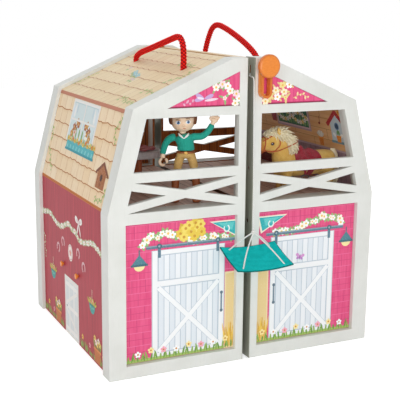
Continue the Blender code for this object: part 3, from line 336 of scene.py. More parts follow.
CORD_LINE_Y = -0.102498
KNOT = Vector((-0.0025, -0.129898, 0.1466))
way = smooth_route([(0.0086, CORD_LINE_Y, 0.3168), (0.0078, CORD_LINE_Y, 0.3128), (0.0040, CORD_LINE_Y, 0.3064),
    (0.0026, -0.104098, 0.3056), (0.0026, -0.112198, 0.3048), (0.0026, -0.114598, 0.3016)], 6)
foot = KNOT + Vector((0, 0, 0.0023))
way += [way[-1].lerp(foot, k / 12) for k in range(1, 13)]
hoist_line, line = laid_cord("hoist_line", way, 0.0008, 0.0004, 12, twist)
hoist_line.data.materials.append(thread_white)
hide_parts("hoist_cord")
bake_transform(hoist_line)


# Sling: a rectangle of thick teal felt with a cut edge. Four white cords run from its corners
# up to one knot. The felt hangs by them, dips in the middle and slopes to the front.
def felt_point(u, v):
    """Middle of the felt: u from -1 at the left to 1 at the right, v from 0 at the back to 1 in front."""
    flat = 1 - u * u
    sag = 0.004 * flat * (0.7 + 0.3 * sin(pi * v))
    corner = 0.0016 * u ** 4 * sin(pi * v)
    tilt = radians(20)
    return Vector((-0.0025 + u * 0.03275, -0.117398 - v * 0.0437 * cos(tilt), 0.1304 - v * 0.0437 * sin(tilt) - sag
        - corner))


def ball(name, centre, size, rings=24, around=0):
    """An egg of the given half sizes."""
    thing = added(name, "uv_sphere", segments=around or rings * 3 // 2, ring_count=rings, radius=1)
    thing.data.transform(Matrix.Translation(Vector(centre)) @ Matrix.Diagonal((*size, 1)))
    thing.data.shade_smooth()
    return thing


def modify(thing, kind, **settings):
    """Gives a piece one modifier and makes it part of the mesh."""
    step = thing.modifiers.new(kind.lower(), kind)
    for key, value in settings.items():
        setattr(step, key, value)
    bpy.context.view_layer.objects.active = thing
    bpy.ops.object.modifier_apply(modifier=step.name)


felt = added("felt_sling", "grid", x_subdivisions=72, y_subdivisions=48, size=2)
for vertex in felt.data.vertices:
    vertex.co = felt_point(vertex.co.x, (1 - vertex.co.y) / 2)
modify(felt, "SOLIDIFY", thickness=0.0013, offset=0)
modify(felt, "BEVEL", width=0.0003, segments=2, limit_method="ANGLE", angle_limit=radians(60))
felt.data.shade_smooth()
teal_felt, place = finish("teal_felt", 0.95, 0.1)
hairs = put("TexNoise", Vector=place, Scale=1500, Detail=5, Roughness=0.7)
cloud = mottle(place, 160)
base = over(cloud, "08b4b2", "12c9c8")
base = over(ramp(hairs, 0.5, 0.8, 0.0, 0.5), base, "45dada")
uvs = put("TexCoord", out=2)
across = axes(uvs)
rim = [calc("ABSOLUTE", calc("SUBTRACT", across[k], 0.5)) for k in (0, 1)]
edge = calc("MAXIMUM", calc("GREATER_THAN", rim[0], 0.488), calc("GREATER_THAN", rim[1], 0.482))
surface(over(edge, base, "08736f"), hairs, 0.0004)
done(felt, teal_felt, "sling", "teal_felt", "sling")

u, v = 1 - 2 * 0.0085 / 0.0655, 0.0045 / 0.0437
legs = []
for name, (foot_u, foot_v) in {"back_left": (-u, v), "back_right": (u, v), "front_left": (-u, 1 - v),
        "front_right": (u, 1 - v)}.items():
    foot = felt_point(foot_u, foot_v)
    top = KNOT + (foot - KNOT).normalized() * 0.0012
    bow = Vector(((foot - KNOT).x, 0, 0)) * 0.055
    way = [top.lerp(foot, k / 16) + bow * sin(pi * k / 16) for k in range(17)]
    cord, line = laid_cord(f"sling_cord_{name}", way, 0.0008, 0.0004, 10, twist)
    stopper = ball(f"sling_stopper_{name}", foot - Vector((0, 0, 0.0012)), [0.00145] * 3, 8, 14)
    legs += [done(piece, thread_white, "sling", "white_cord") for piece in (cord, stopper)]
knot = knotted("sling_knot", KNOT, 0.0011, 0.00045, 0.0010, 0.0009, 0.0002, 12, twist)
done(knot, thread_white, "sling", "white_cord", "sling_cords")


# Frames: four profiled boards, two to a half, sprayed with a warm grey-white paint.
# The faces turned to the inside carry a print of dark brown planks.
def dress(nodes, material):
    """Gives CAD nodes a finish, in place of their plain colours."""
    for node in nodes:
        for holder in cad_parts[node].material_slots:
            holder.material = material


def on_both(kind, places):
    """The nodes of one kind at these places of either half."""
    return [f"{half}_{place}_{kind}" for half in ("left", "right") for place in places]


def band(value, low, high):
    """1 where a value lies between low and high."""
    above = calc("GREATER_THAN", value, low)
    below = calc("LESS_THAN", value, high)
    return calc("MULTIPLY", above, below)


def lines(value, pitch, width):
    """1 on thin lines that lie a pitch apart."""
    return calc("LESS_THAN", calc("PINGPONG", value, pitch / 2), width / 2)


def along(place, way, start=0.0):
    """Distance along a direction, plus a start."""
    return calc("ADD", put("VectorMath", place, way, operation="DOT_PRODUCT", out=1), start)


def stretched(place, x, y, z, scale, detail=4.0):
    """Noise drawn out into streaks."""
    return noise(scaled(place, (x, y, z)), scale, detail)


def mirrored(place):
    """The place with its x made positive, so that both halves share one pattern."""
    parts = axes(place)
    return put("CombineXYZ", calc("ABSOLUTE", parts[0]), parts[1], parts[2])


STEEP, UPPER = (0.96730, 0.25363), (0.39919, 0.91687)  # x and z of the way that each roof slope faces
paint, place = finish("grey_white_paint", 0.46, 0.35)
xyz = axes(place)
facing = axes(put("TexCoord", out=1))
coat = over(mottle(place, 38), "dcddd7", "e3e4df")
coat = over(ramp(stretched(place, 1, 1, 0.12, 700), 0.55, 0.8, 0.0, 0.25), coat, "cfd0c8")
inward = calc("GREATER_THAN", calc("ABSOLUTE", facing[1]), 0.5)
inward = calc("MULTIPLY", inward, band(xyz[1], -0.1085, 0.1487))
flat = mirrored(place)
for way, reach in (((1, 0, 0), 0.1492), ((STEEP[0], 0, STEEP[1]), 0.1878), ((UPPER[0], 0, UPPER[1]), 0.3004)):
    inside = calc("LESS_THAN", along(flat, way), reach)
    inward = calc("MULTIPLY", inward, inside)
grain = stretched(place, 1, 1, 0.06, 420)
planks = over(ramp(grain, 0.35, 0.68), "8f4b1c", "b4672b")
planks = over(lines(xyz[0], 0.0115, 0.0009), planks, "52280f")
coat = over(inward, coat, planks)
# The meeting faces between the halves are raw board, painted a darker grey as painted shade deep in the gap.
meeting = calc("LESS_THAN", calc("ABSOLUTE", xyz[0]), 0.0046)
raw_edge_and_gap_shade = over(ramp(grain, 0.35, 0.68), "989a8b", "a9aa9b")
surface(over(meeting, coat, raw_edge_and_gap_shade), noise(place, 900, 3), 0.00006)
dress(on_both("frame", ("front", "back")), paint)


# Side walls: thin printed boards. The outside is crimson planking; the inside of the room
# has a warm beige planking over a mauve skirting, as the inside of the steep roof has.
def room_print(place):
    """The print on every inward face: beige planks with brown grain and a mauve skirting."""
    xyz = axes(place)
    wood = stretched(place, 1, 0.08, 1, 300)
    beige = over(ramp(wood, 0.35, 0.7), "e0aa72", "ecc08a")
    beige = over(lines(xyz[2], 0.0125, 0.0006), beige, "b5824f")
    joints = calc("MULTIPLY", cell(xyz[2], 0.0125), 0.031)
    beige = over(lines(calc("ADD", xyz[1], joints), 0.072, 0.0007), beige, "a9794b")
    skirting = over(mottle(place, 120), "9c818c", "b3979f")
    skirting = over(lines(xyz[1], 0.011, 0.0005), skirting, "75606c")
    upper = calc("GREATER_THAN", xyz[2], 0.172)
    top = ramp(upper, 0.0, 1.0, 0.030, 0.2143)
    room = over(calc("LESS_THAN", xyz[2], top), beige, skirting)
    rail = calc("ABSOLUTE", calc("SUBTRACT", xyz[2], top))
    return over(calc("LESS_THAN", rail, 0.0011), room, "b79cab")


crimson, place = finish("crimson_planks", 0.5, 0.25)
flat = mirrored(place)
xyz = axes(flat)
grain = stretched(place, 1, 1, 0.05, 520)
red = over(ramp(grain, 0.35, 0.68), "a62836", "be3a4a")
red = over(lines(xyz[1], 0.0056, 0.0007), red, "8f2839")
red = over(band(xyz[2], 0.1712, 0.18), red, "c96f2c")
outside = calc("GREATER_THAN", xyz[0], 0.1515)
surface(over(outside, room_print(place), red), noise(place, 1200, 2), 0.00004)
dress(["left_wall", "right_wall"], crimson)


# Roof: two printed boards to a half, a steep one and a flat one. Outside they carry cream
# shingles drawn with brown lines; the flat board's cut edge shows as a terracotta strip.
def shingles(name, low, high, pitch, wide, stagger, edge, base, light, row_ink, joint_ink, edge_ink):
    """Shingle print on a slope from its low to its high line, both given as (x, z) of the half, over
    a strip of another colour along the lower edge."""
    made, place = finish(name, 0.5, 0.25)
    flat = mirrored(place)
    xyz = axes(flat)
    length = hypot(high[0] - low[0], high[1] - low[1])
    run, rise = (high[0] - low[0]) / length, (high[1] - low[1]) / length
    up = along(flat, (run, 0, rise), -(low[0] * run + low[1] * rise))
    shake = stretched(place, 0, 1, 0.2, 85, 1)
    wave = calc("SINE", calc("MULTIPLY", xyz[1], 2 * pi / wide))
    drift = calc("MULTIPLY", calc("ADD", shake, -0.5), 0.0044)
    drift = calc("ADD", calc("MULTIPLY", wave, 0.00035), drift)
    bent = calc("ADD", up, drift)
    row = cell(bent, pitch)
    jog = calc("FRACT", calc("MULTIPLY", row, stagger))
    beside = calc("ADD", xyz[1], calc("MULTIPLY", jog, wide))
    tile = cell(beside, wide)
    own = put("TexWhiteNoise", put("CombineXYZ", row, tile, 0.0), noise_dimensions="3D")
    grain = stretched(place, 0.15, 1, 0.15, 420)
    colour = over(own, base, light)
    colour = over(ramp(grain, 0.5, 0.8, 0.0, 0.35), colour, joint_ink)
    foot = calc("DIVIDE", calc("FLOORED_MODULO", bent, pitch), pitch)
    colour = over(ramp(foot, 0.75, 1.0, 0.0, 0.30), colour, joint_ink)
    colour = over(lines(beside, wide, 0.0007), colour, joint_ink)
    colour = over(lines(bent, pitch, 0.0011), colour, row_ink)
    facing = axes(put("TexCoord", out=1))
    outside = calc("GREATER_THAN", facing[2], 0.05)
    colour = over(outside, room_print(place), colour)
    colour = over(calc("LESS_THAN", up, edge), colour, edge_ink)
    surface(colour, noise(place, 1200, 2), 0.00004)
    return made


STEEP_LOW, STEEP_HIGH = (0.15283, 0.17199), (0.12543, 0.27649)
dress(["left_steep_roof", "right_steep_roof"], shingles("steep_shingles", STEEP_LOW, STEEP_HIGH, 0.0172, 0.0202, 0.37,
    0.0026, "f5d9b2", "fae4c4", "b5702f", "cfa067", "c9742f"))
dress(["left_upper_roof", "right_upper_roof"], shingles("flat_shingles", (0.1285, 0.27567), (0.0194, 0.32317), 0.0192,
    0.0155, 0.41, 0.0016, "ead3ab", "f0ddb9", "b98560", "cfae83", "c58065"))


# Gables and lower fillings: pink printed planks let in behind the frames, with a brown
# printed back. The lower ones have a row of short planks between two drawn rails.
def pink_print(name, rows):
    made, place = finish(name, 0.5, 0.25)
    xyz = axes(place)
    grain = stretched(place, 1, 1, 0.08, 380)
    pink = over(ramp(grain, 0.35, 0.7), "e04f80", "ea6490")
    pitch = 0.0149 if rows else 0.0126
    shifted = xyz[0]
    if rows:
        row = cell(calc("ADD", xyz[2], -0.0037), 0.0142)
        shifted = calc("ADD", xyz[0], calc("MULTIPLY", row, 0.0067))
    pink = over(lines(shifted, pitch, 0.0006), pink, "cc4274")
    if rows:
        level = calc("ADD", xyz[2], -0.0037)
        pink = over(lines(level, 0.0142, 0.0006), pink, "ee7ba3")
        level = calc("ADD", xyz[2], 0.0036)
        pink = over(lines(level, 0.0142, 0.0006), pink, "d34a7a")
        pink = over(calc("GREATER_THAN", xyz[2], 0.1602), pink, "d23a72")
    else:
        pink = over(band(xyz[2], 0.2, 0.2783), pink, "9a2d52")
    back = over(ramp(grain, 0.35, 0.68), "8c6a4c", "a88461")
    back = over(lines(xyz[0], 0.0145, 0.0007), back, "5f432c")
    inner = band(xyz[1], -0.1106 if not rows else -0.1050, 0.1508 if not rows else 0.1452)
    surface(over(inner, pink, back), noise(place, 1200, 2), 0.00004)
    return made


dress(on_both("gable", ("front", "back")), pink_print("pink_gable_planks", False))
dress(on_both("panel", ("front", "back")), pink_print("pink_lower_planks", True))


# Floors: two boards to a half with a mauve-brown print of floor planks that run from the
# front to the back. Their edges are bare wood.
boards, place = finish("mauve_floorboards", 0.5, 0.25)
xyz = axes(place)
grain = stretched(place, 1, 0.07, 1, 420)
row = cell(xyz[0], 0.021)
own = put("TexWhiteNoise", put("CombineXYZ", row, 0.0, 0.0), noise_dimensions="3D")
mauve = over(own, "e6c8bb", "efd6ca")
mauve = over(ramp(grain, 0.4, 0.72, 0.0, 0.6), mauve, "a98b82")
mauve = over(lines(xyz[0], 0.021, 0.0008), mauve, "85685f")
stop = calc("ADD", xyz[1], calc("MULTIPLY", own, 0.09))
mauve = over(lines(stop, 0.113, 0.0008), mauve, "85685f")
facing = axes(put("TexCoord", out=1))
side = calc("LESS_THAN", calc("ABSOLUTE", facing[2]), 0.5)
ply = over(lines(xyz[2], 0.0012, 0.0005), "6b4527", "4c2c16")
surface(over(side, mauve, ply), grain, 0.00005)
dress(on_both("floor", ("ground", "loft")), boards)


# Doll: a small dressed figure that stands in the left loft behind the fence. The head is
# turned wood with painted features; it swivels on its neck and looks at the viewer.
def limb(name, stations, sides=20, step=0.0006, cap=0.6):
    """A rounded form through rings: each station is a point, a half width and a half depth.
    cap is the length of the rounding at both ends, as a share of the end's own radius."""
    full = smooth_stations(stations, step)
    points = np.array([p for p, _, _ in full])
    radii = np.array([(a, b) for _, a, b in full])
    gone = np.concatenate([[0], np.cumsum(np.linalg.norm(np.diff(points, axis=0), axis=1))])
    for end, reach in ((gone, cap * radii[0].min()), (gone[-1] - gone, cap * radii[-1].min())):
        if reach > 0:
            t = np.clip(end / reach, 0, 1)
            radii *= np.sqrt(np.clip(1 - (1 - t) ** 2, 0.02, 1))[:, None]
    thing, ring, turn, deep, across = tube(name, points, sides, np.array((0.0, 1.0, 0.0)))
    place_points(thing, points[ring] - across[ring] * (radii[ring, 0] * np.cos(turn))[:, None]
        + deep[ring] * (radii[ring, 1] * np.sin(turn))[:, None])
    outward(thing)
    thing.data.shade_smooth()
    return thing


def rings(place, *rows):
    """Stations given as the three numbers of a place, a width and a depth."""
    return [(place(*row[:3]), *row[3:]) for row in rows]


def smooth_stations(stations, step):
    """Stations on a smooth curve through the given ones, about a step apart."""
    rows = spline([np.array((*point, wide, deep)) for point, wide, deep in stations],
        lambda here, there: max(2, round(float(np.linalg.norm((there - here)[:3])) / step)))
    return [(m[:3], max(m[3], 1e-5), max(m[4], 1e-5)) for m in rows]


def alone(thing):
    """Selects one piece and makes it the active one."""
    bpy.ops.object.select_all(action="DESELECT")
    thing.select_set(True)
    bpy.context.view_layer.objects.active = thing


def outward(thing):
    """Turns every face of a closed piece outwards."""
    alone(thing)
    with editing("SELECT"):
        bpy.ops.mesh.normals_make_consistent(inside=False)


def joined(name, things):
    bpy.ops.object.select_all(action="DESELECT")
    for thing in things:
        thing.select_set(True)
    bpy.context.view_layer.objects.active = things[0]
    if len(things) > 1:
        bpy.ops.object.join()
    things[0].name = name
    return things[0]


def modelled(name, things, voxel, smooth):
    """Several forms grown into one skin, as in clay."""
    whole = joined(name, things)
    modify(whole, "REMESH", mode="VOXEL", voxel_size=voxel, use_smooth_shade=True)
    if smooth:
        modify(whole, "SMOOTH", factor=0.5, iterations=smooth)
    return whole


def doll(x, y, z):
    """A place on the doll before it's turned: across, behind its middle, and above the loft floor."""
    return Vector((-0.059 + x, -0.074898 + y, 0.1725 + z))


HEAD = doll(0, 0, 0.0887)
FORMS = [((0, 0, 0), (0.01305, 0.0130, 0.0136)), ((0, -0.0003, -0.0040), (0.0121, 0.0124, 0.0099))]
TURNED = Matrix.Translation(HEAD) @ Matrix.Rotation(radians(-22), 4, "Z") @ Matrix.Translation(-HEAD)


def of_doll(piece, *rest):
    """The whole doll is modelled facing the front and then turned towards the viewer."""
    piece.data.transform(TURNED)
    return done(piece, *rest)


def face(x, z, lift=0.0):
    """A place on the face: across and up from the head's middle, standing a little proud."""
    x, z = x - 0.0004 - 0.07 * z, z + 0.07 * x
    out = 0.0
    for (_, y, low), (wide, deep, high) in FORMS:
        rest = 1 - (x / wide) ** 2 - ((z - low) / high) ** 2
        out = min(out, y - deep * sqrt(max(rest, 0.0)))
    return HEAD + Vector((x, out, z)) + Vector((x, out, z)).normalized() * lift


def spot(name, x, z, half_w, half_h, turn, at):
    """A painted or printed oval that follows a surface; at gives the surface's place over x and z."""
    made = added(name, "circle", vertices=20, radius=1, fill_type="TRIFAN")
    with editing("SELECT"):
        bpy.ops.mesh.subdivide(number_cuts=1)
    c, s = cos(turn), sin(turn)
    for v in made.data.vertices:
        a, b = v.co.x * half_w, v.co.y * half_h
        v.co = at(x + a * c - b * s, z + a * s + b * c)
    made.data.shade_smooth()
    return made


def painted(name, x, z, half_w, half_h, lift, turn=0.0):
    """A painted spot on the doll's face."""
    return spot(name, x, z, half_w, half_h, turn, lambda a, b: face(a, b, lift))


skin, place = finish("painted_skin", 0.42, 0.3)
surface(over(mottle(place, 260), "fad6b4", "fde3c8"), noise(place, 1500, 2), 0.00003)

head = [ball("dh", HEAD + Vector(middle), size, 40) for middle, size in FORMS]
nose = ball("dn", face(0.0004, -0.0060, 0.0001), (0.0011, 0.0012, 0.0012), 12)
ears = [ball("de", HEAD + Vector((s * 0.0126, 0.0004, -0.0042)), (0.0014, 0.0019, 0.0024), 12) for s in (-1, 1)]
neck = limb("dk", rings(doll, (0, 0, 0.0722, 0.0034, 0.0034), (0, 0, 0.0790, 0.0034, 0.0034)), 20)
of_doll(modelled("doll_face", [*head, nose, *ears, neck], 0.0004, 4), skin, "doll_head", "doll_wood", "doll_head")


def plain_paint(name, code, other, rough=0.4, scale=700, **plain):
    made, place = finish(name, rough, **plain)
    surface(over(mottle(place, scale), code, other), noise(place, scale * 3, 2), 0.00003)
    return made


eye_white = plain_paint("eye_white", "f4f6f6", "ffffff", 0.25)
eye_blue = plain_paint("eye_blue", "2f6fa8", "3f86bf", 0.25)
eye_black = plain_paint("eye_black", "14161c", "1d2027", 0.2)
brow_brown = plain_paint("brow_brown", "7a4a2a", "8a5734", 0.5)
lip_orange = plain_paint("lip_orange", "cf6a3c", "d9774a", 0.5)
for side, x in (("left", -0.0051), ("right", 0.0051)):
    for name, cx, cz, w, h, lift, look in (("white", x, -0.0027, 0.0026, 0.0019, 0.00016, eye_white),
            ("iris", x + 0.0003, -0.0027, 0.0014, 0.0016, 0.00022, eye_blue), ("pupil", x + 0.0003, -0.0026, 0.0008,
            0.0009, 0.00028, eye_black), ("glint", x - 0.0002, -0.0020, 0.0003, 0.0003, 0.00034, eye_white)):
        of_doll(painted(f"doll_{side}_eye_{name}", cx, cz, w, h, lift), look, "doll_head", "doll_wood")
    of_doll(painted(f"doll_{side}_lid", x, -0.0007, 0.0025, 0.00028, 0.0002, turn=0.05 if x < 0 else -0.05),
        brow_brown, "doll_head", "doll_hair")
    of_doll(painted(f"doll_{side}_brow", x, 0.0009, 0.0024, 0.0003, 0.0002, turn=0.16 if x < 0 else -0.16),
        brow_brown, "doll_head", "doll_hair")
of_doll(painted("doll_mouth", 0.0008, -0.0092, 0.0017, 0.00036, 0.0002), lip_orange, "doll_head", "doll_wood")

# The doll's hair: a brown moulded cap with a straight fringe and a lock over each temple.
hair_brown, place = finish("brown_hair", 0.45)
strands = stretched(place, 1, 1, 0.12, 900)
surface(over(ramp(strands, 0.35, 0.7), "5f3419", "8f5730"), strands, 0.0006)
cap = ball("hc", HEAD, (0.0148, 0.01475, 0.0152), 48)
alone(cap)
with editing() as bm:
    for f in bm.faces:
        p = f.calc_center_median() - HEAD
        temple = abs(p.x) > 0.0118
        fringe = p.y < 0.0022 and p.z < 0.0022 - 0.05 * abs(p.x) and not temple
        if fringe or p.z < -0.0058 - 0.35 * max(p.y, 0):
            f.select = True
    bpy.ops.mesh.delete(type="FACE")
modify(cap, "SOLIDIFY", thickness=0.0013, offset=-1)
cap = modelled("doll_hair_cap", [cap], 0.0004, 3)
co = np.array([v.co for v in cap.data.vertices])
rel = co - np.array(HEAD)
turn = np.arctan2(rel[:, 0], -rel[:, 1])
comb = 0.00022 * np.sin(26 * turn + 6 * np.sin(rel[:, 2] * 160)) * np.clip((0.0145 - rel[:, 2]) / 0.006, 0, 1)
co += (co - np.array(HEAD)) / 0.0148 * comb[:, None]
place_points(cap, co)
cap.data.shade_smooth()
of_doll(cap, hair_brown, "doll_head", "doll_hair", "doll_hair")

# The doll's clothes: a knitted teal jersey with a white shirt collar in its neck, tan
# trousers held by a brown belt, and brown boots with a dark sole.
jersey, place = finish("teal_jersey", 0.85, Sheen_Weight=0.1)
knit_up = along(place, (0, 0, 1))
xyz = axes(place)
stitch = calc("ADD", calc("PINGPONG", knit_up, 0.00045), calc("PINGPONG", along(place, (0.9, 0.45, 0)), 0.0005))
depth = ramp(stitch, 0.0, 0.00095)
# The hollows between the stitches are painted darker teal as painted shade.
wool = over(depth, "108a78", "20b49d")
wool = over(mottle(place, 500, 0.0, 0.4), wool, "2cb9a6")
surface(wool, depth, 0.00025)
torso = limb("dt", rings(doll, (0.0032, 0, 0.0548, 0.0086, 0.0066), (0.0032, 0, 0.0560, 0.0092, 0.0072),
    (0.0030, 0, 0.0610, 0.0088, 0.0070), (0.0020, 0, 0.0660, 0.0096, 0.0072), (0.0010, 0, 0.0695, 0.0094, 0.0066),
    (0.0006, 0, 0.0714, 0.0060, 0.0050), (0.0004, 0, 0.0722, 0.0042, 0.0042)), 40, 0.0004, 0.15)
shoulder = {"left": [((-0.0072, 0, 0.0688), 0.0040), ((-0.0110, 0, 0.0684), 0.0040), ((-0.0155, 0, 0.0655), 0.0038),
    ((-0.0186, -0.0002, 0.0602), 0.0035), ((-0.0203, -0.0006, 0.0545), 0.0033), ((-0.0208, -0.0010, 0.0510), 0.0031)],
    "right": [((0.0080, 0, 0.0690), 0.0040), ((0.0128, 0, 0.0694), 0.0039), ((0.0200, 0, 0.0700), 0.0036),
    ((0.0252, 0, 0.0738), 0.0034), ((0.0290, 0, 0.0790), 0.0032), ((0.0308, 0, 0.0828), 0.0031)]}
sleeves = [limb(f"ds_{side}", [(doll(*p), r, r) for p, r in path], 24, 0.0005, 0.5)
    for side, path in shoulder.items()]
for side, path in shoulder.items():
    (a, _), (b, _) = path[-2:]
    b, way = doll(*b), (doll(*b) - doll(*a)).normalized()
    for k in (0, 1):
        sleeves.append(limb("dc", [(b - way * (0.0014 + 0.0016 * k), 0.0036, 0.0036),
            (b - way * (0.0003 + 0.0016 * k), 0.0036, 0.0036)], 24, 0.0003, 0.25))
for k, z in enumerate((0.0553, 0.0564)):
    sleeves.append(limb("dw", rings(doll, (0.0032, 0, z - 0.0004, 0.0095, 0.0074), (0.0032, 0, z + 0.0004, 0.0095,
        0.0074)), 40, 0.0003, 0.2))
of_doll(modelled("doll_jersey", [torso, *sleeves], 0.00045, 3), jersey, "left_half", "doll_jersey", "doll_sweater",
    "doll_left_arm", "doll_right_arm")

collar = plain_paint("white_collar", "e9f1ef", "ffffff", 0.8)
for side, s in HALVES:
    wing = limb(f"doll_{side}_collar", rings(doll, (0.0008 + s * 0.0052, 0.0004, 0.0728, 0.0008, 0.0008),
        (0.0008 + s * 0.0047, -0.0036, 0.0722, 0.0010, 0.0008), (0.0009 + s * 0.0027, -0.0062, 0.0706, 0.0010,
        0.0007), (0.0010, -0.0074, 0.0684, 0.0004, 0.0004)), 12, 0.0005, 0.8)
    of_doll(wing, collar, "left_half", "doll_jersey")

# The doll's hands: the raised one is half open, the low one is closed round an empty grip.
(a, _), (b, _) = shoulder["right"][-2:]
wrist = doll(*b)
way = (wrist - doll(*a)).normalized()
across = Vector((way.z, 0, -way.x))
front = Vector((0, -1, 0))
palm = [limb("p", [(wrist - way * 0.0012, 0.0023, 0.0023), (wrist + way * 0.0016, 0.0024, 0.0022),
    (wrist + way * 0.0046, 0.0040, 0.0024), (wrist + way * 0.0066, 0.0036, 0.0021)], 18, 0.0005, 0.6)]
base = wrist + way * 0.0058
for k in range(4):
    out = across * (0.0030 - 0.0020 * k)
    palm.append(limb("f", [(base + out, 0.0011, 0.0011), (base + out * 1.05 + way * 0.0027 + front * 0.0004, 0.00105,
        0.00105), (base + out + way * (0.0041 - 0.0003 * abs(k - 1.3)) + front * 0.0018, 0.0010, 0.0010),
        (base + out * 0.9 + way * 0.0030 + front * 0.0034, 0.0008, 0.0008)], 10, 0.0004, 0.9))
palm.append(limb("t", [(wrist + way * 0.0028 - across * 0.0026, 0.0013, 0.0013), (wrist + way * 0.0048
    - across * 0.0048 + front * 0.0008, 0.0012, 0.0012), (wrist + way * 0.0070 - across * 0.0046 + front * 0.0020,
    0.0009, 0.0009)], 10, 0.0004, 0.9))
of_doll(modelled("doll_right_hand", palm, 0.0003, 2), skin, "left_half", "doll_wood")

wrist = doll(*shoulder["left"][-1][0])
grip = wrist + Vector((0.0004, -0.0012, -0.0078))
palm = [limb("p", [(wrist + Vector((0, 0, 0.0012)), 0.0023, 0.0023), (wrist - Vector((0, 0, 0.0022)), 0.0026, 0.0024),
    (wrist - Vector((0.0004, 0.0002, 0.0042)), 0.0034, 0.0027)], 18, 0.0005, 0.6)]
for k in range(3):
    sweep = [(grip + Vector((-0.0034 * cos(t) - 0.0002 * k, 0.0016 - 0.0015 * k, 0.0036 * sin(t))), 0.0014, 0.00115)
        for t in (radians(a) for a in (75, 35, 0, -35, -70, -100, -128 + 8 * k))]
    palm.append(limb("f", sweep, 10, 0.0005, 0.9))
palm.append(limb("t", [(grip + Vector((0.0022, -0.0002, 0.0036)), 0.0015, 0.0015), (grip
    + Vector((0.0038, -0.0008, 0.0012)), 0.0014, 0.0014), (grip + Vector((0.0034, -0.0014, -0.0018)), 0.0011,
    0.0011)], 10, 0.0004, 0.9))
of_doll(modelled("doll_left_hand", palm, 0.0003, 2), skin, "left_half", "doll_wood")

# The doll's trousers, belt and boots: tan twill, brown leather, and brown boots with a dark sole.
trouser_tan, place = finish("tan_twill", 0.8, Sheen_Weight=0.1)
twill = lines(along(place, (0.7, 0.3, 0.7)), 0.0006, 0.00022)
cloth = over(mottle(place, 240), "d4a960", "e5be7a")
surface(over(twill, cloth, "c29a55"), noise(place, 420, 3), 0.0005)
seat = limb("q", rings(doll, (0.0034, 0, 0.0462, 0.0098, 0.0062), (0.0034, 0, 0.0490, 0.0102, 0.0070),
    (0.0032, 0, 0.0515, 0.0096, 0.0068), (0.0032, 0, 0.0540, 0.0090, 0.0066)), 36, 0.0005, 0.4)
STANCE = {"left": (-0.0014, -0.0040, -0.0052, -0.0064, -0.0072), "right": (0.0080, 0.0108, 0.0121, 0.0131, 0.0139)}
legs = [limb("l", rings(doll, (x4, 0, 0.0272, 0.0042, 0.0042), (x3, -0.0002, 0.0310, 0.0043, 0.0046),
    (x2, -0.0006, 0.0360, 0.0043, 0.0047), (x1, 0, 0.0430, 0.0046, 0.0052), (x0, 0, 0.0500, 0.0046, 0.0058)), 26,
    0.0005, 0.3) for x0, x1, x2, x3, x4 in STANCE.values()]
trousers = modelled("doll_trousers_cloth", [seat, *legs], 0.0005, 3)
co = np.array([v.co for v in trousers.data.vertices])
rel = co - np.array(doll(0, 0, 0))
leg_x = np.where(rel[:, 0] < 0.0034, rel[:, 0] + 0.0054, rel[:, 0] - 0.0122)
turn = np.arctan2(rel[:, 1], leg_x)
fold = (0.00026 * np.sin(rel[:, 2] * 1150 + 2.2 * turn) * np.exp(-((rel[:, 2] - 0.037) / 0.0045) ** 2)
    + 0.00028 * np.sin(rel[:, 2] * 1500 - 2.6 * turn) * np.exp(-((rel[:, 2] - 0.0290) / 0.0025) ** 2)
    + 0.00026 * np.sin(3.2 * turn + rel[:, 2] * 520) * np.exp(-((rel[:, 2] - 0.047) / 0.004) ** 2))
out = np.stack([leg_x, rel[:, 1], np.zeros(len(rel))], 1)
out /= np.maximum(np.linalg.norm(out, axis=1), 1e-6)[:, None]
co += out * fold[:, None]
place_points(trousers, co)
trousers.data.shade_smooth()
of_doll(trousers, trouser_tan, "left_half", "doll_cloth", "doll_trousers")

leather = plain_paint("brown_leather", "8f4a22", "a65a2c", 0.42)
sole_dark = plain_paint("dark_sole", "3c2416", "4a2e1d", 0.6)
belt = limb("doll_belt", rings(doll, (0.0032, 0, 0.0522, 0.0098, 0.0072), (0.0032, 0, 0.0547, 0.0097, 0.0072)), 40,
    0.0003, 0.08)
of_doll(belt, leather, "left_half", "boot_wood")
buckle_brass = plain_paint("buckle_brass", "c9a048", "d8b463", 0.3, Metallic=0.8)
buckle = added("doll_buckle", "plane", size=1)
buckle.data.transform(Matrix.Translation(doll(0.0032, -0.0075, 0.05345)) @ Matrix.Rotation(pi / 2, 4,
    "X") @ Matrix.Diagonal((0.0026, 0.0022, 1, 1)))
with editing("SELECT"):
    bpy.ops.mesh.inset(thickness=0.0005, depth=0)
    bpy.ops.mesh.delete(type="FACE")
modify(buckle, "SOLIDIFY", thickness=0.0005)
outward(buckle)
of_doll(buckle, buckle_brass, "left_half", "doll_cloth")
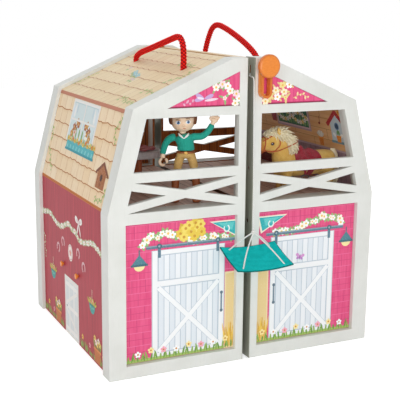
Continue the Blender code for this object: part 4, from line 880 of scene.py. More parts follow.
for side, stand in STANCE.items():
    top = stand[-1]
    x = top + (-0.0008 if side == "left" else 0.0008)
    foot = [limb("b", rings(doll, (x, 0.0003, 0.0045, 0.0043, 0.0045), (x, 0, 0.0110, 0.0039, 0.0041),
        ((x + top) / 2, 0, 0.0190, 0.0041, 0.0043), (top, 0, 0.0262, 0.0044, 0.0045)), 24, 0.0005, 0.15),
        limb("a", rings(doll, (x, 0.0040, 0.0030, 0.0042, 0.0028), (x, -0.0020, 0.0034, 0.0046, 0.0032),
        (x, -0.0070, 0.0028, 0.0045, 0.0025), (x, -0.0093, 0.0022, 0.0034, 0.0018)), 24, 0.0005, 0.8)]
    of_doll(modelled(f"doll_{side}_boot_leather", foot, 0.0004, 3), leather, "left_half", "boot_wood",
        f"doll_{side}_boot")
    sole = limb(f"doll_{side}_sole", rings(doll, (x, 0.0040, 0.0009, 0.0042, 0.00055),
        (x, -0.0020, 0.0009, 0.0048, 0.00055), (x, -0.0093, 0.0009, 0.0038, 0.00055)), 20, 0.0006, 0.9)
    of_doll(sole, sole_dark, "left_half", "boot_wood")
    cuff = limb(f"doll_{side}_boot_cuff", rings(doll, (top, 0, 0.0262, 0.0047, 0.0048),
        (top, 0, 0.0274, 0.0047, 0.0048)), 24, 0.0003, 0.15)
    of_doll(cuff, sole_dark, "left_half", "boot_wood")


# Pony: a small palomino play horse with a short flocked coat over a hard hollow body. It
# stands in the right loft behind the fence. Its muzzle is airbrushed orange.
PONY_Y = -0.073798


def pony(a, s, d):
    """A place on the pony: along its back from the saddle, across, and below the back line."""
    return Vector((0.0905 + a * 0.0135, PONY_Y + s * 0.0135, 0.217 - d * 0.0135))


flock, place = finish("palomino_flock", 0.95, 0.15, Sheen_Weight=0.15)
xyz = axes(place)
nap = over(mottle(place, 150), "e3b358", "f0cb78")
nap = over(ramp(stretched(place, 1, 1, 0.5, 1400), 0.5, 0.8, 0.0, 0.5), nap, "cf9d4e")
muzzle = distance(place, (0.0275, -0.0738, 0.2225))
airbrush = ramp(muzzle, 0.0075, 0.0135, 1.0, 0.0)
nap = over(airbrush, nap, "c4692f")
shin = ramp(xyz[2], 0.1775, 0.1850, 0.7, 0.0)
surface(over(shin, nap, "d89b56"), noise(place, 2600, 3), 0.0003)

barrel = limb("barrel", rings(pony, (-2.6, 0, 1.05, 0.0075, 0.0068), (-2.35, 0, 0.98, 0.0119, 0.0108),
    (-1.4, 0, 0.98, 0.0135, 0.0128), (0, 0, 1.0, 0.0134, 0.0132), (1.5, 0, 0.92, 0.0135, 0.0132),
    (2.5, 0, 0.92, 0.01215, 0.0115), (2.8, 0, 1.0, 0.0075, 0.0070)), 30, 0.0008)
throat = limb("throat", rings(pony, (-1.85, 0, 1.19, 0.0124, 0.0089), (-2.2, 0, 0.37, 0.0108, 0.0084),
    (-2.3, 0, -0.43, 0.0095, 0.0076), (-2.55, 0, -1.04, 0.0084, 0.0074)), 26, 0.0007)
skull = limb("skull", rings(pony, (-2.52, 0, -1.15, 0.0061, 0.0061), (-2.96, 0, -1.0, 0.0092, 0.0084),
    (-3.52, 0, -0.85, 0.0087, 0.0079), (-4.04, 0, -0.67, 0.0068, 0.0066), (-4.41, 0, -0.58, 0.0059, 0.0057),
    (-4.59, 0, -0.54, 0.0045, 0.0045)), 26, 0.0006)
forms = [barrel, throat, skull, ball("snout", pony(-4.22, 0, -0.52), (0.0060, 0.0064, 0.0058)),
    ball("jaw", pony(-3.15, 0, -0.50), (0.0072, 0.0066, 0.0062)), ball("lip", pony(-4.34, 0, -0.26),
    (0.0034, 0.0040, 0.0026))]
for s in (-1, 1):
    forms.append(limb("ear", rings(pony, (-2.62, s * 0.34, -1.55, 0.0024, 0.0020), (-2.70, s * 0.42, -1.92, 0.0022,
        0.0016), (-2.80, s * 0.44, -2.20, 0.0007, 0.0007)), 14, 0.0005, 0.8))
    for a, bends in ((-2.0, (0.0, 0.0, 0.0003, 0.0006, 0.0004, 0.0, 0.0)), (2.1, (-0.0010, 0.0006, 0.0026, 0.0024,
            0.0012, 0.0002, 0.0))):
        forms.append(limb("leg", [(pony(a, s * 0.55, 0) + Vector((x, 0, z - 0.217)), r, r)
            for x, z, r in zip(bends, (0.2008, 0.1935, 0.1880, 0.1852, 0.1820, 0.1785, 0.1764),
            (0.0084, 0.0064, 0.0048, 0.0049, 0.0038, 0.0036, 0.0044))], 20, 0.0006, 0.3))
palomino = modelled("pony_coat", forms, 0.00055, 5)
done(palomino, flock, "right_half", "pony_coat", "pony_body")
hoof_brown = plain_paint("hoof_brown", "85552f", "98683d", 0.5)
for end, a in (("front", -2.0), ("hind", 2.1)):
    for side, s in (("near", -1), ("far", 1)):
        foot = pony(a, s * 0.55, 0)
        hoof = limb(f"pony_{side}_{end}_hoof", [(Vector((foot.x, foot.y, 0.1772)), 0.0045, 0.0044),
            (Vector((foot.x - 0.0004, foot.y, 0.1750)), 0.0050, 0.0047), (Vector((foot.x - 0.0008, foot.y, 0.1729)),
            0.0056, 0.0051)], 22, 0.0004, 0.12)
        done(hoof, hoof_brown, "right_half", "pony_coat")


# The pony's eyes, nostrils and mouth are printed on the flock; its bridle, rein and neck
# strap are thin red-brown straps glued to it, with the rein lying back over the mane.
skin_tree = BVHTree.FromPolygons([v.co for v in palomino.data.vertices], [tuple(p.vertices)
    for p in palomino.data.polygons])


def on_coat(x, z, side=-1, lift=0.0):
    """The place of the coat's surface over (x, z), seen from one side, a little proud."""
    start = Vector((x, PONY_Y + side * 0.04, z))
    point, normal, _, _ = skin_tree.ray_cast(start, Vector((0, -side, 0)))
    if point is None:
        point, normal = Vector((x, PONY_Y + side * 0.004, z)), Vector((0, side, 0))
    return point + normal * lift


def printed(name, x, z, half_w, half_h, lift, side, turn=0.0):
    """A printed spot on the pony's coat."""
    made = spot(name, x, z, half_w, half_h, turn, lambda a, b: on_coat(a, b, side, lift))
    if side > 0:
        made.data.flip_normals()
    return made


lash_brown = plain_paint("lash_brown", "8a5426", "9c6330", 0.7)
for side, s in (("near", -1), ("far", 1)):
    for name, x, z, w, h, lift, turn, look in (("lid", 0.0452, 0.2294, 0.0024, 0.0019, 0.00018, 0.3, lash_brown),
            ("eye", 0.0452, 0.2291, 0.0016, 0.0015, 0.00026, 0.2, eye_black), ("glint", 0.0448, 0.2297, 0.0004,
            0.0004, 0.00034, 0.0, eye_white), ("nostril", 0.0302, 0.2258, 0.0011, 0.0007, 0.00018, 0.7, sole_dark),
            ("mouth", 0.0318, 0.2207, 0.0024, 0.00028, 0.00018, 0.12, sole_dark)):
        done(printed(f"pony_{side}_{name}", x, z, w, h, lift, s, turn), look, "right_half", "pony_coat")

strap_red, place = finish("red_brown_strap", 0.55)
surface(over(mottle(place, 900), "b4512a", "c96737"), noise(place, 3000, 2), 0.0001)
tack = []
for s in (-1, 1):
    for way in ([(0.0352, 0.2318), (0.0400, 0.2342), (0.0447, 0.2364), (0.0492, 0.2384)],
            [(0.0490, 0.2402), (0.0530, 0.2368), (0.0562, 0.2320), (0.0548, 0.2262), (0.0500, 0.2212)],
            [(0.0500, 0.2212), (0.0450, 0.2205), (0.0400, 0.2212), (0.0370, 0.2222)]):
        line = smooth_route([(x, 0, z) for x, z in way], 6)
        tack.append(limb("t", [(on_coat(p.x, p.z, s, 0.0002), 0.00072, 0.00045) for p in line], 10, 0.0006, 0.5))
    tack.append(ball("ring", on_coat(0.0372, 0.2222, s, 0.0004), (0.0013, 0.0007, 0.0013), 10))
middle = Vector((0.0366, PONY_Y, 0.2268))
around = []
for k in range(29):
    turn = 2 * pi * k / 28
    out = Vector((0.25 * sin(turn), -cos(turn), sin(turn))).normalized()
    point, normal, _, _ = skin_tree.ray_cast(middle + out * 0.03, -out)
    around.append((point + normal * 0.0002, 0.00080, 0.00045))
tack.append(limb("noseband", around, 10, 0.0006, 0.0))
done(joined("pony_bridle", tack), strap_red, "right_half", "saddle_cloth")

rein_way = [(0.0370, -1.02, 0.2220), (0.0440, -1.10, 0.2208), (0.0520, -1.10, 0.2216), (0.0610, -1.02, 0.2240),
    (0.0700, -0.90, 0.2266), (0.0780, -0.62, 0.2290), (0.0812, 0.0, 0.2300), (0.0780, 0.62, 0.2290),
    (0.0700, 0.90, 0.2266), (0.0610, 1.02, 0.2240), (0.0520, 1.10, 0.2216), (0.0440, 1.10, 0.2208),
    (0.0370, 1.02, 0.2220)]
route = smooth_route([(x, PONY_Y + 0.0090 * s, z) for x, s, z in rein_way], 5)
route[0] = on_coat(0.0374, 0.2221, -1, 0.0006)
route[-1] = on_coat(0.0374, 0.2221, 1, 0.0006)
rein, line = laid_cord("pony_rein", route, 0.00065, 0.0005, 10, lambda turn, gone: 0.5 + 0.5 * np.cos(2 * turn))
done(rein, strap_red, "right_half", "saddle_cloth")


# The pony's mane and tail are fluffy cream locks, rooted along the neck and the rump.
def lock(name, length, wide):
    """One curved lock of hair with a few dozen faces, rooted at the origin and growing up."""
    hair = added(name, "cone", vertices=6, radius1=wide, radius2=0.25 * wide, depth=length)
    with editing() as bm:
        upright = [e for e in bm.edges if abs(e.verts[0].co.z - e.verts[1].co.z) > length / 2]
        bmesh.ops.subdivide_edges(bm, edges=upright, cuts=4, use_grid_fill=False)
    hair.data.transform(Matrix.Translation((0, 0, length / 2)))
    for v in hair.data.vertices:
        t = v.co.z / length
        belly = 0.75 + 0.6 * sin(pi * min(t * 1.15, 1.0))
        v.co.x = v.co.x * belly + length * (0.42 * t * t)
        v.co.y = v.co.y * belly + length * 0.10 * sin(3.4 * t)
        v.co.z *= 1 - 0.20 * t
    hair.data.shade_smooth()
    return hair


cream, place = finish("cream_mane", 0.7, 0.25, Sheen_Weight=0.1)
strands = stretched(place, 1, 1, 0.5, 1300)
shade = over(mottle(place, 330), "e6d9b2", "fbf3da")
surface(over(ramp(strands, 0.5, 0.75, 0.0, 0.55), shade, "c9b888"), strands, 0.0004)
template = lock("lock", 0.0082, 0.00125)
chance = np.random.default_rng(5)


def twin(piece, where):
    """A copy with its own mesh, put in another place."""
    one = piece.copy()
    one.data = piece.data.copy()
    bpy.context.collection.objects.link(one)
    one.data.transform(where)
    return one


def grown(name, path, count, spread, sweep, body, slot, node, size=1.0):
    """A core along a path with locks all round it that sweep one way."""
    stations = [(Vector((x, PONY_Y, z)), r * 0.80, r * spread * 0.80) for x, z, r in path]
    things = [limb("core", stations, 20, 0.0008, 0.8)]
    full = smooth_stations([(Vector((x, PONY_Y, z)), r, r * spread) for x, z, r in path], 0.0004)
    for k in range(count):
        i = min(int((k + 0.5) / count * len(full)), len(full) - 2)
        point, wide, deep = full[i]
        ahead = Vector(full[i + 1][0] - point).normalized()
        turn = k * 2.399963
        out = Vector((-ahead.z * cos(turn), sin(turn), ahead.x * cos(turn)))
        root = Vector(point) + Vector((out.x * wide, out.y * deep, out.z * wide)) * 0.62
        grow = (out * 0.75 + ahead * sweep + Vector(chance.normal(0, 0.16, 3))).normalized()
        fall = (ahead * 0.6 + Vector((0, 0, -1)) + Vector(chance.normal(0, 0.25, 3))).normalized()
        side = grow.cross(fall).normalized()
        turned = Matrix((side.cross(grow), side, grow)).transposed().to_4x4()
        scale = size * (0.75 + 0.5 * chance.random()) * (0.55 + 0.45 * wide / 0.0078)
        things.append(twin(template, Matrix.Translation(root) @ turned @ Matrix.Scale(scale, 4)))
    whole = joined(name, things)
    outward(whole)
    return done(whole, cream, body, slot, node)


grown("pony_mane_locks", [(0.0395, 0.2362, 0.0034), (0.0460, 0.2385, 0.0052), (0.0560, 0.2392, 0.0062),
    (0.0645, 0.2362, 0.0070), (0.0700, 0.2295, 0.0074), (0.0728, 0.2222, 0.0070), (0.0738, 0.2160, 0.0048)], 260,
    0.98, 0.35, "right_half", "pony_hair", "pony_mane")
grown("pony_tail_locks", [(0.1252, 0.2165, 0.0024), (0.1298, 0.2148, 0.0036), (0.1325, 0.2069, 0.0040),
    (0.1336, 0.1954, 0.0040), (0.1336, 0.1850, 0.0036), (0.1326, 0.1795, 0.0018)], 90, 0.9, 1.6, "right_half",
    "pony_hair", "pony_tail", 0.9)
bpy.data.objects.remove(template)


# The pony's saddle cloth: one piece of crimson cloth over the back with a pinched fold in
# front, held by a girth of the same cloth, and a grey stirrup on each side.
def cloth_point(u, v):
    """Middle of the cloth: u from -1 in front to 1 behind, v from -1 at one hem to 1 at the other."""
    turn = v * radians(104)
    hang = max(abs(v) - 0.62, 0.0) / 0.38
    fold = 0.0009 * hang * sin(9.0 * u + 1.2 * v) + 0.0004 * sin(11 * u + 5.5 * v) * (1 - hang)
    pinch = 0.0062 * exp(-((u + 0.26) / 0.24) ** 2 - (v / 0.20) ** 2)
    pinch += 0.0030 * exp(-((u - 0.42) / 0.22) ** 2 - (v / 0.26) ** 2)
    half_y, half_z = 0.01395 + fold + 0.0010 * hang, 0.01440 + fold + pinch
    x = 0.0894 + u * (0.0161 + 0.0006 * sin(7 * v))
    drop = 0.0022 * hang * (1 - 0.25 * u * u)
    return Vector((x, PONY_Y + half_y * sin(turn), 0.2036 + half_z * cos(turn) - drop))


saddle = added("pony_saddle_cloth", "grid", x_subdivisions=56, y_subdivisions=96, size=2)
for vertex in saddle.data.vertices:
    vertex.co = cloth_point(vertex.co.x, vertex.co.y)
spread = [cloth_point(0.0, k / 60 - 1) for k in range(121)]
depth = sum((b - a).length for a, b in zip(spread, spread[1:]))
modify(saddle, "SOLIDIFY", thickness=0.0008, offset=0)
saddle.data.shade_smooth()
cloth_red, place = finish("crimson_cloth", 0.9, 0.15, Sheen_Weight=0.2)
weave = calc("ADD", lines(along(place, (1, 0, 0)), 0.0007, 0.0003), lines(along(place, (0, 0.7, 0.7)), 0.0007,
    0.0003))
dyed = over(mottle(place, 190), "a82738", "c43f4e")
dyed = over(calc("MULTIPLY", weave, 0.22), dyed, "7f1626")
rim = axes(put("TexCoord", out=2))
hem = calc("GREATER_THAN", calc("ABSOLUTE", calc("SUBTRACT", rim[1], 0.5)), 0.478)
surface(over(hem, dyed, "8d1f2e"), weave, 0.00012)
done(saddle, cloth_red, "right_half", "saddle_cloth", "pony_saddle")

girth = []
for k in range(45):
    turn = radians(98 + (360 - 196) * k / 44)
    out = Vector((0, sin(turn), cos(turn)))
    point, normal, _, _ = skin_tree.ray_cast(Vector((0.0925, PONY_Y, 0.2036)) + out * 0.03, -out)
    girth.append((Vector((0.0925, point.y, point.z)) + out * 0.0004, 0.0040, 0.0006))
girth = [(p, h, w) for p, h, w in girth if p.z < 0.2035]
strap = limb("pony_girth", girth, 16, 0.0008, 0.0)
done(strap, cloth_red, "right_half", "saddle_cloth")
iron_grey = plain_paint("stirrup_grey", "55504c", "6d6762", 0.4, Metallic=0.6)
for side, s in (("near", -1), ("far", 1)):
    y = PONY_Y + s * 0.0150
    hung = limb(f"pony_{side}_stirrup_strap", [(Vector((0.0842, y - s * 0.0006, 0.2030)), 0.0016, 0.0004),
        (Vector((0.0838, y, 0.1972)), 0.0014, 0.0004), (Vector((0.0836, y, 0.1930)), 0.0013, 0.0004)], 12, 0.0006,
        0.5)
    done(hung, cloth_red, "right_half", "saddle_cloth")
    bow = [(Vector((0.0834 + 0.0052 * cos(t), y, 0.1893 + max(-0.0026, 0.0040 * sin(t)))), 0.0008, 0.0008)
        for t in (radians(a) for a in range(90, 451, 15))]
    done(limb(f"pony_{side}_stirrup", bow, 10, 0.0006, 0.0), iron_grey, "right_half", "hinge_steel")


# Turned and sawn beech parts, dipped in orange lacquer: the hoist's knob and shaft, the latch
# loop that hangs on the shaft, and the two pegs on the left wall.
lacquer, place = finish("orange_lacquered_beech", 0.38, 0.4, Coat_Weight=0.15)
growth = stretched(place, 1, 0.15, 3.2, 260)
beech = over(ramp(growth, 0.35, 0.7), "e17d20", "f08e31")
beech = over(mottle(place, 90, 0.0, 0.5), beech, "e88733")
# The rim of the knob's front face is painted darker orange as painted shade on its rounded edge.
radius = distance(scaled(place, (1, 0, 1)), (0.0137, 0, 0.3168))
rim = calc("MULTIPLY", ramp(radius, 0.0098, 0.0118, 0.0, 0.75), calc("LESS_THAN", put("SeparateXYZ", place, out=1),
    -0.1220))
surface(over(rim, beech, "cc661b"), growth, 0.00008)
dress(["hoist_knob", "hoist_shaft", "latch_loop", "front_wall_peg", "back_wall_peg"], lacquer)
for node, width in (("latch_loop", 0.0007), ("hoist_knob", 0.0005)):
    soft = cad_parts[node].modifiers.new("rubbed_edges", "BEVEL")
    soft.width = width
    soft.segments = 3
    soft.limit_method = "ANGLE"
    soft.angle_limit = radians(35)


# Hinges and magnets: two butt hinges of bent sheet steel on the back, each leaf held by three
# countersunk screws, and two nickelled magnets let into each half's meeting edge.
steel, place = finish("zinc_plated_steel", 0.34, Metallic=1.0)
brushed = stretched(place, 1, 1, 0.04, 2200)
surface(over(ramp(brushed, 0.35, 0.7), "9c9ea0", "c3c5c6"), brushed, 0.00003)
dress(on_both("hinge_leaf", ("lower", "upper")), steel)
dress(["lower_hinge_pin", "upper_hinge_pin"], steel)
nickel, place = finish("nickelled_magnet", 0.25, Metallic=1.0)
surface(over(mottle(place, 1600), "b9b7b0", "d3d1ca"), noise(place, 3000, 2), 0.00003)
dress(on_both("magnet", ("lower", "upper")), nickel)

screw = added("hinge_screw", "cylinder", vertices=24, radius=0.0016, depth=0.0007)
with editing() as bm:
    for f in bm.faces:
        f.select = f.normal.z > 0.9
    bmesh.update_edit_mesh(screw.data)
    bpy.ops.mesh.inset(thickness=0.00035, depth=0.00022)
for turn in (0, 90):
    slot = added("recess", "cube", size=1, location=(0, 0, 0.00055))
    slot.data.transform(Matrix.Rotation(radians(45 + turn), 4, "Z") @ Matrix.Diagonal((0.0019, 0.00045, 0.0007, 1)))
    alone(screw)
    modify(screw, "BOOLEAN", operation="DIFFERENCE", object=slot)
    bpy.data.objects.remove(slot)
screw.data.transform(Matrix.Translation((0, 0, 0.0001)))
for side, sign in HALVES:
    screws = []
    for level in ("lower", "upper"):
        low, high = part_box(f"{side}_{level}_hinge_leaf")
        for share in (0.16, 0.5, 0.84):
            where = Matrix.Translation((sign * 0.0070, 0.1553, low.z + share * (high.z - low.z)))
            screws.append(twin(screw, where @ Matrix.Rotation(-pi / 2, 4, "X") @ Matrix.Rotation(share * 2, 4, "Z")))
    done(joined(f"{side}_hinge_screws", screws), steel, f"{side}_half", "hinge_steel")
bpy.data.objects.remove(screw)


# Loft table: turned in one piece, a thick round top on a stout leg and a round foot. The top
# is painted grey, the leg brown, and a red and white checked cloth mat lies on it.
table_paint, place = finish("grey_table_paint", 0.5)
xyz = axes(place)
grain = stretched(place, 0.12, 1, 1, 320)
grey = over(ramp(grain, 0.35, 0.7), "c3c2c7", "d6d5d9")
brown = over(ramp(stretched(place, 1, 1, 0.1, 400), 0.35, 0.7), "b0572f", "c56b3c")
low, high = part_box("loft_table")
middle = Vector(((low.x + high.x) / 2, (low.y + high.y) / 2, high.z))
reach = distance(scaled(place, (1, 1, 0)), (middle.x, middle.y, 0))
leg = calc("LESS_THAN", reach, 0.0056)
leg = calc("MULTIPLY", leg, calc("LESS_THAN", xyz[2], 0.2040))
worn = calc("MULTIPLY", calc("GREATER_THAN", reach, 0.0264), mottle(place, 420, 0.0, 0.8))
surface(over(leg, over(worn, grey, "dbd8d6"), brown), grain, 0.00008)
dress(["loft_table"], table_paint)


def mat_point(a, b):
    """A place on the mat: it lies on the table top and its rim cockles a little."""
    far = hypot(a, b)
    turn = atan2(b, a)
    lift = 0.00035 + 0.0006 * max(far - 0.75, 0) / 0.25 * (1 + sin(9 * turn)) + 0.0001 * sin(21 * a + 9 * b)
    return middle + Vector((0.0215 * a, 0.0205 * b, lift))


mat = added("checked_mat", "circle", vertices=72, radius=1, fill_type="TRIFAN")
with editing("SELECT"):
    bpy.ops.mesh.subdivide(number_cuts=7)
for vertex in mat.data.vertices:
    vertex.co = mat_point(vertex.co.x, vertex.co.y)
modify(mat, "SOLIDIFY", thickness=0.0005, offset=1)
outward(mat)
mat.data.shade_smooth()
check, place = finish("red_check_cloth", 0.85, 0.15, Sheen_Weight=0.1)
xyz = axes(place)
down = calc("GREATER_THAN", calc("PINGPONG", along(place, (0.8, 0.6, 0)), 0.0055), 0.00275)
cross = calc("GREATER_THAN", calc("PINGPONG", along(place, (-0.6, 0.8, 0)), 0.0055), 0.00275)
both = calc("MULTIPLY", calc("ADD", down, cross), 0.5)
dyed = over(both, "e6a3a8", "a82534")
border = distance(scaled(place, (1, 1.05, 0)), (middle.x, middle.y * 1.05, 0))
dyed = over(calc("GREATER_THAN", border, 0.0202), dyed, "c9808a")
surface(over(mottle(place, 700, 0.0, 0.35), dyed, "b8505c"), noise(place, 1800, 3), 0.00015)
done(mat, check, "left_half", "table_wood")


# Printed pictures: every board carries a screen print of farm motifs in matt ink. A print is
# built as thin stamps on its board, copied from a few cut shapes, each with its ink's colour.
def cut_shape(name, corners, outline):
    """A flat filled shape about one unit across; outline maps a turn from 0 to 1 to a point."""
    shape = added(name, "circle", vertices=corners, radius=0.5, fill_type="NGON")
    for k, vertex in enumerate(shape.data.vertices):
        vertex.co = (*outline(k / corners), 0)
    shape.data.update()
    if shape.data.polygons[0].normal.z < 0:
        shape.data.flip_normals()
    shape.data.attributes.new("ink", "FLOAT_COLOR", "POINT")
    return shape


def round_turn(t):
    return cos(2 * pi * t), sin(2 * pi * t)


def arch_outline(t):
    """A horseshoe: round its outer edge and back along its inner one."""
    k = round(t * 28)
    turn = radians(-52 + 284 * (k if k < 14 else 27 - k) / 13)
    reach = 0.5 if k < 14 else 0.31
    return reach * cos(turn), reach * sin(turn)


SHAPES = {"disc": cut_shape("disc", 16, lambda t: [0.5 * c for c in round_turn(t)]),
    "petal": cut_shape("petal", 10, lambda t: (round_turn(t)[0] * (0.40 + 0.12 * round_turn(t)[1]),
    0.5 + 0.5 * round_turn(t)[1])), "leaf": cut_shape("leaf", 10, lambda t: (0.36 * round_turn(t)[0]
    * abs(round_turn(t)[0]) ** 0.5, 0.5 + 0.5 * round_turn(t)[1])), "bar": cut_shape("bar", 4,
    lambda t: ((-0.5, 0.5, 0.5, -0.5)[round(t * 4)], (-0.5, -0.5, 0.5, 0.5)[round(t * 4)])),
    "wedge": cut_shape("wedge", 3, lambda t: ((-0.5, 0.5, 0.0)[round(t * 3)], (0.0, 0.0, 1.0)[round(t * 3)])),
    "tub": cut_shape("tub", 4, lambda t: ((-0.36, 0.36, 0.5, -0.5)[round(t * 4)], (0, 0, 1, 1)[round(t * 4)])),
    "arch": cut_shape("arch", 28, arch_outline), "bowl": cut_shape("bowl", 16, lambda t: (0.5 * round_turn(t)[0],
    min(0.0, 1.0 * round_turn(t)[1])))}
screen_ink, place = finish("screen_ink", 0.55, 0.25)
printed_colour = put("Attribute", attribute_name="ink", out=0)
speck = noise(place, 700, 3)
surface(over(ramp(speck, 0.5, 0.8, 0.0, 0.22), printed_colour, "f6ead8"), noise(place, 1200, 2), 0.00004)


def sheet_on(origin, along_it, up, out):
    """A board to print on: where (0, 0) lies, its two directions and the way it faces."""
    return [Vector(origin), Vector(along_it), Vector(up).normalized(), Vector(out).normalized(), []]


def on_slope(sign, x, z, faces, way=1):
    """A roof slope to print on, from outside or, with way -1, from inside."""
    return sheet_on((sign * x, 0, z), (0, 1, 0), (-sign * faces[1], 0, faces[0]), (way * sign * faces[0], 0,
        way * faces[1]))


def stamp(board, shape, a, b, wide, high, code, turn=0.0, layer=1):
    """Prints one shape: its place and size in millimetres, its colour, turn and layer of ink."""
    origin, along_it, up, out, pieces = board
    side = up.cross(out)
    c, s = cos(radians(turn)), sin(radians(turn))
    right, top = (side * c + up * s) * wide / 1000, (up * c - side * s) * high / 1000
    spot = origin + along_it * a / 1000 + up * b / 1000
    spot += out * (0.00004 + 0.00003 * layer + 0.0000013 * (len(pieces) % 23))
    one = twin(SHAPES[shape], Matrix([[right[i], top[i], out[i], spot[i]] for i in range(3)] + [[0, 0, 0, 1]]))
    one.data.attributes["ink"].data.foreach_set("color", ink(code) * len(one.data.vertices))
    pieces.append(one)


def draw(board, *stamps):
    """Prints several shapes in their order, each given by what stamp takes."""
    for values in stamps:
        stamp(board, *values)


def flower(board, a, b, size, petals, eye, layer=3, count=5, turn=0.0):
    for k in range(count):
        stamp(board, "petal", a, b, size * 0.46, size * 0.52, petals, turn + 360 / count * k, layer)
    stamp(board, "disc", a, b, size * 0.30, size * 0.30, eye, 0, layer + 1)


def trail(points, step):
    """Even steps along a smooth line: each is a place and the line's heading in degrees."""
    line = [Vector((p.x, p.y)) for p in smooth_route([(a, b, 0) for a, b in points], 8)]
    gone, next_one, found = 0.0, 0.0, []
    for here, there in zip(line, line[1:]):
        length = (there - here).length
        while length > 0 and next_one <= gone + length:
            spot = here.lerp(there, (next_one - gone) / length)
            found.append((spot.x, spot.y, degrees(atan2(there.y - here.y, there.x - here.x))))
            next_one += step
        gone += length
    return found


def vine(board, points, stem, leaf, size=4.0, step=3.6, flip=1):
    """A stem with a leaf on either side in turn."""
    for k, (a, b, way) in enumerate(trail(points, step)):
        way = way if flip > 0 else 180 - way
        stamp(board, "bar", a, b, step * 1.15, 0.55, stem, way, 1)
        stamp(board, "leaf", a, b, size * 0.75, size * (0.8 + 0.3 * sin(k * 2.1)), leaf,
            way - 90 + (50 if k % 2 else -50), 2)


def garland(board, points, petals, eye, leaf, size=6.5, step=3.8, flip=1):
    """A hanging rope of leaves and small flowers."""
    for k, (a, b, way) in enumerate(trail(points, step)):
        way = way if flip > 0 else 180 - way
        for spread in (40, 150, 220, 320):
            stamp(board, "leaf", a, b, size * 0.42, size * 0.68, leaf, way + spread + 23 * sin(k * 1.7), 2)
        if k % 3 != 1:
            flower(board, a + 0.8 * sin(2.3 * k), b + 0.9 * cos(1.9 * k), size * (0.9 + 0.2 * sin(k)),
                petals[k % len(petals)], eye, 3, 5, 31 * k)


def printed_board(name, board, body, slot):
    """All stamps of one board as one layer of ink."""
    done(joined(name, board[-1]), screen_ink, body, slot)


def hanging_basket(board, a, b, flip):
    """A turquoise wall basket with trailing plants, under its bracket."""
    draw(board, ("bar", a, b + 11, 0.6, 13, "e6dcc6", 14, 1), ("bar", a, b + 11, 0.6, 13, "e6dcc6", -14, 1),
        ("bowl", a, b, 19, 10, "3f9d98", 0, 2))
    for k in range(3):
        stamp(board, "bar", a - 5 + 5 * k, b - 2.6 - (0.9 if k == 1 else 0), 2.2, 2.0, "8ccbbd", 45, 3)
    stamp(board, "bar", a, b, 20, 1.6, "2f827f", 0, 4)
    for k in range(11):
        x = -9 + 1.8 * k
        stamp(board, "leaf", a + x, b + 0.5, 3.4, 7 + 2.5 * sin(k * 2.2), "a9b83f" if k % 2 else "d8c04a",
            -6.5 * x * flip + 12 * sin(k), 5)
    for k in range(4):
        flower(board, a - 6 + 4 * k, b + 4.5 + 1.6 * sin(2.4 * k), 4.2, "f3d8a0" if k % 2 else "ee9a86", "d0733a", 6)


def horseshoe(board, a, b, size, turn):
    stamp(board, "arch", a, b, size, size * 1.1, "ecc7cc", turn, 2)
    face_way = board[1].dot(board[2].cross(board[3]))
    for k in range(6):
        way = radians(turn - 30 + 48 * k)
        stamp(board, "disc", a + face_way * 0.40 * size * cos(way), b + 0.44 * size * sin(way), 0.9, 0.9, "9c3a4b", 0,
            3)


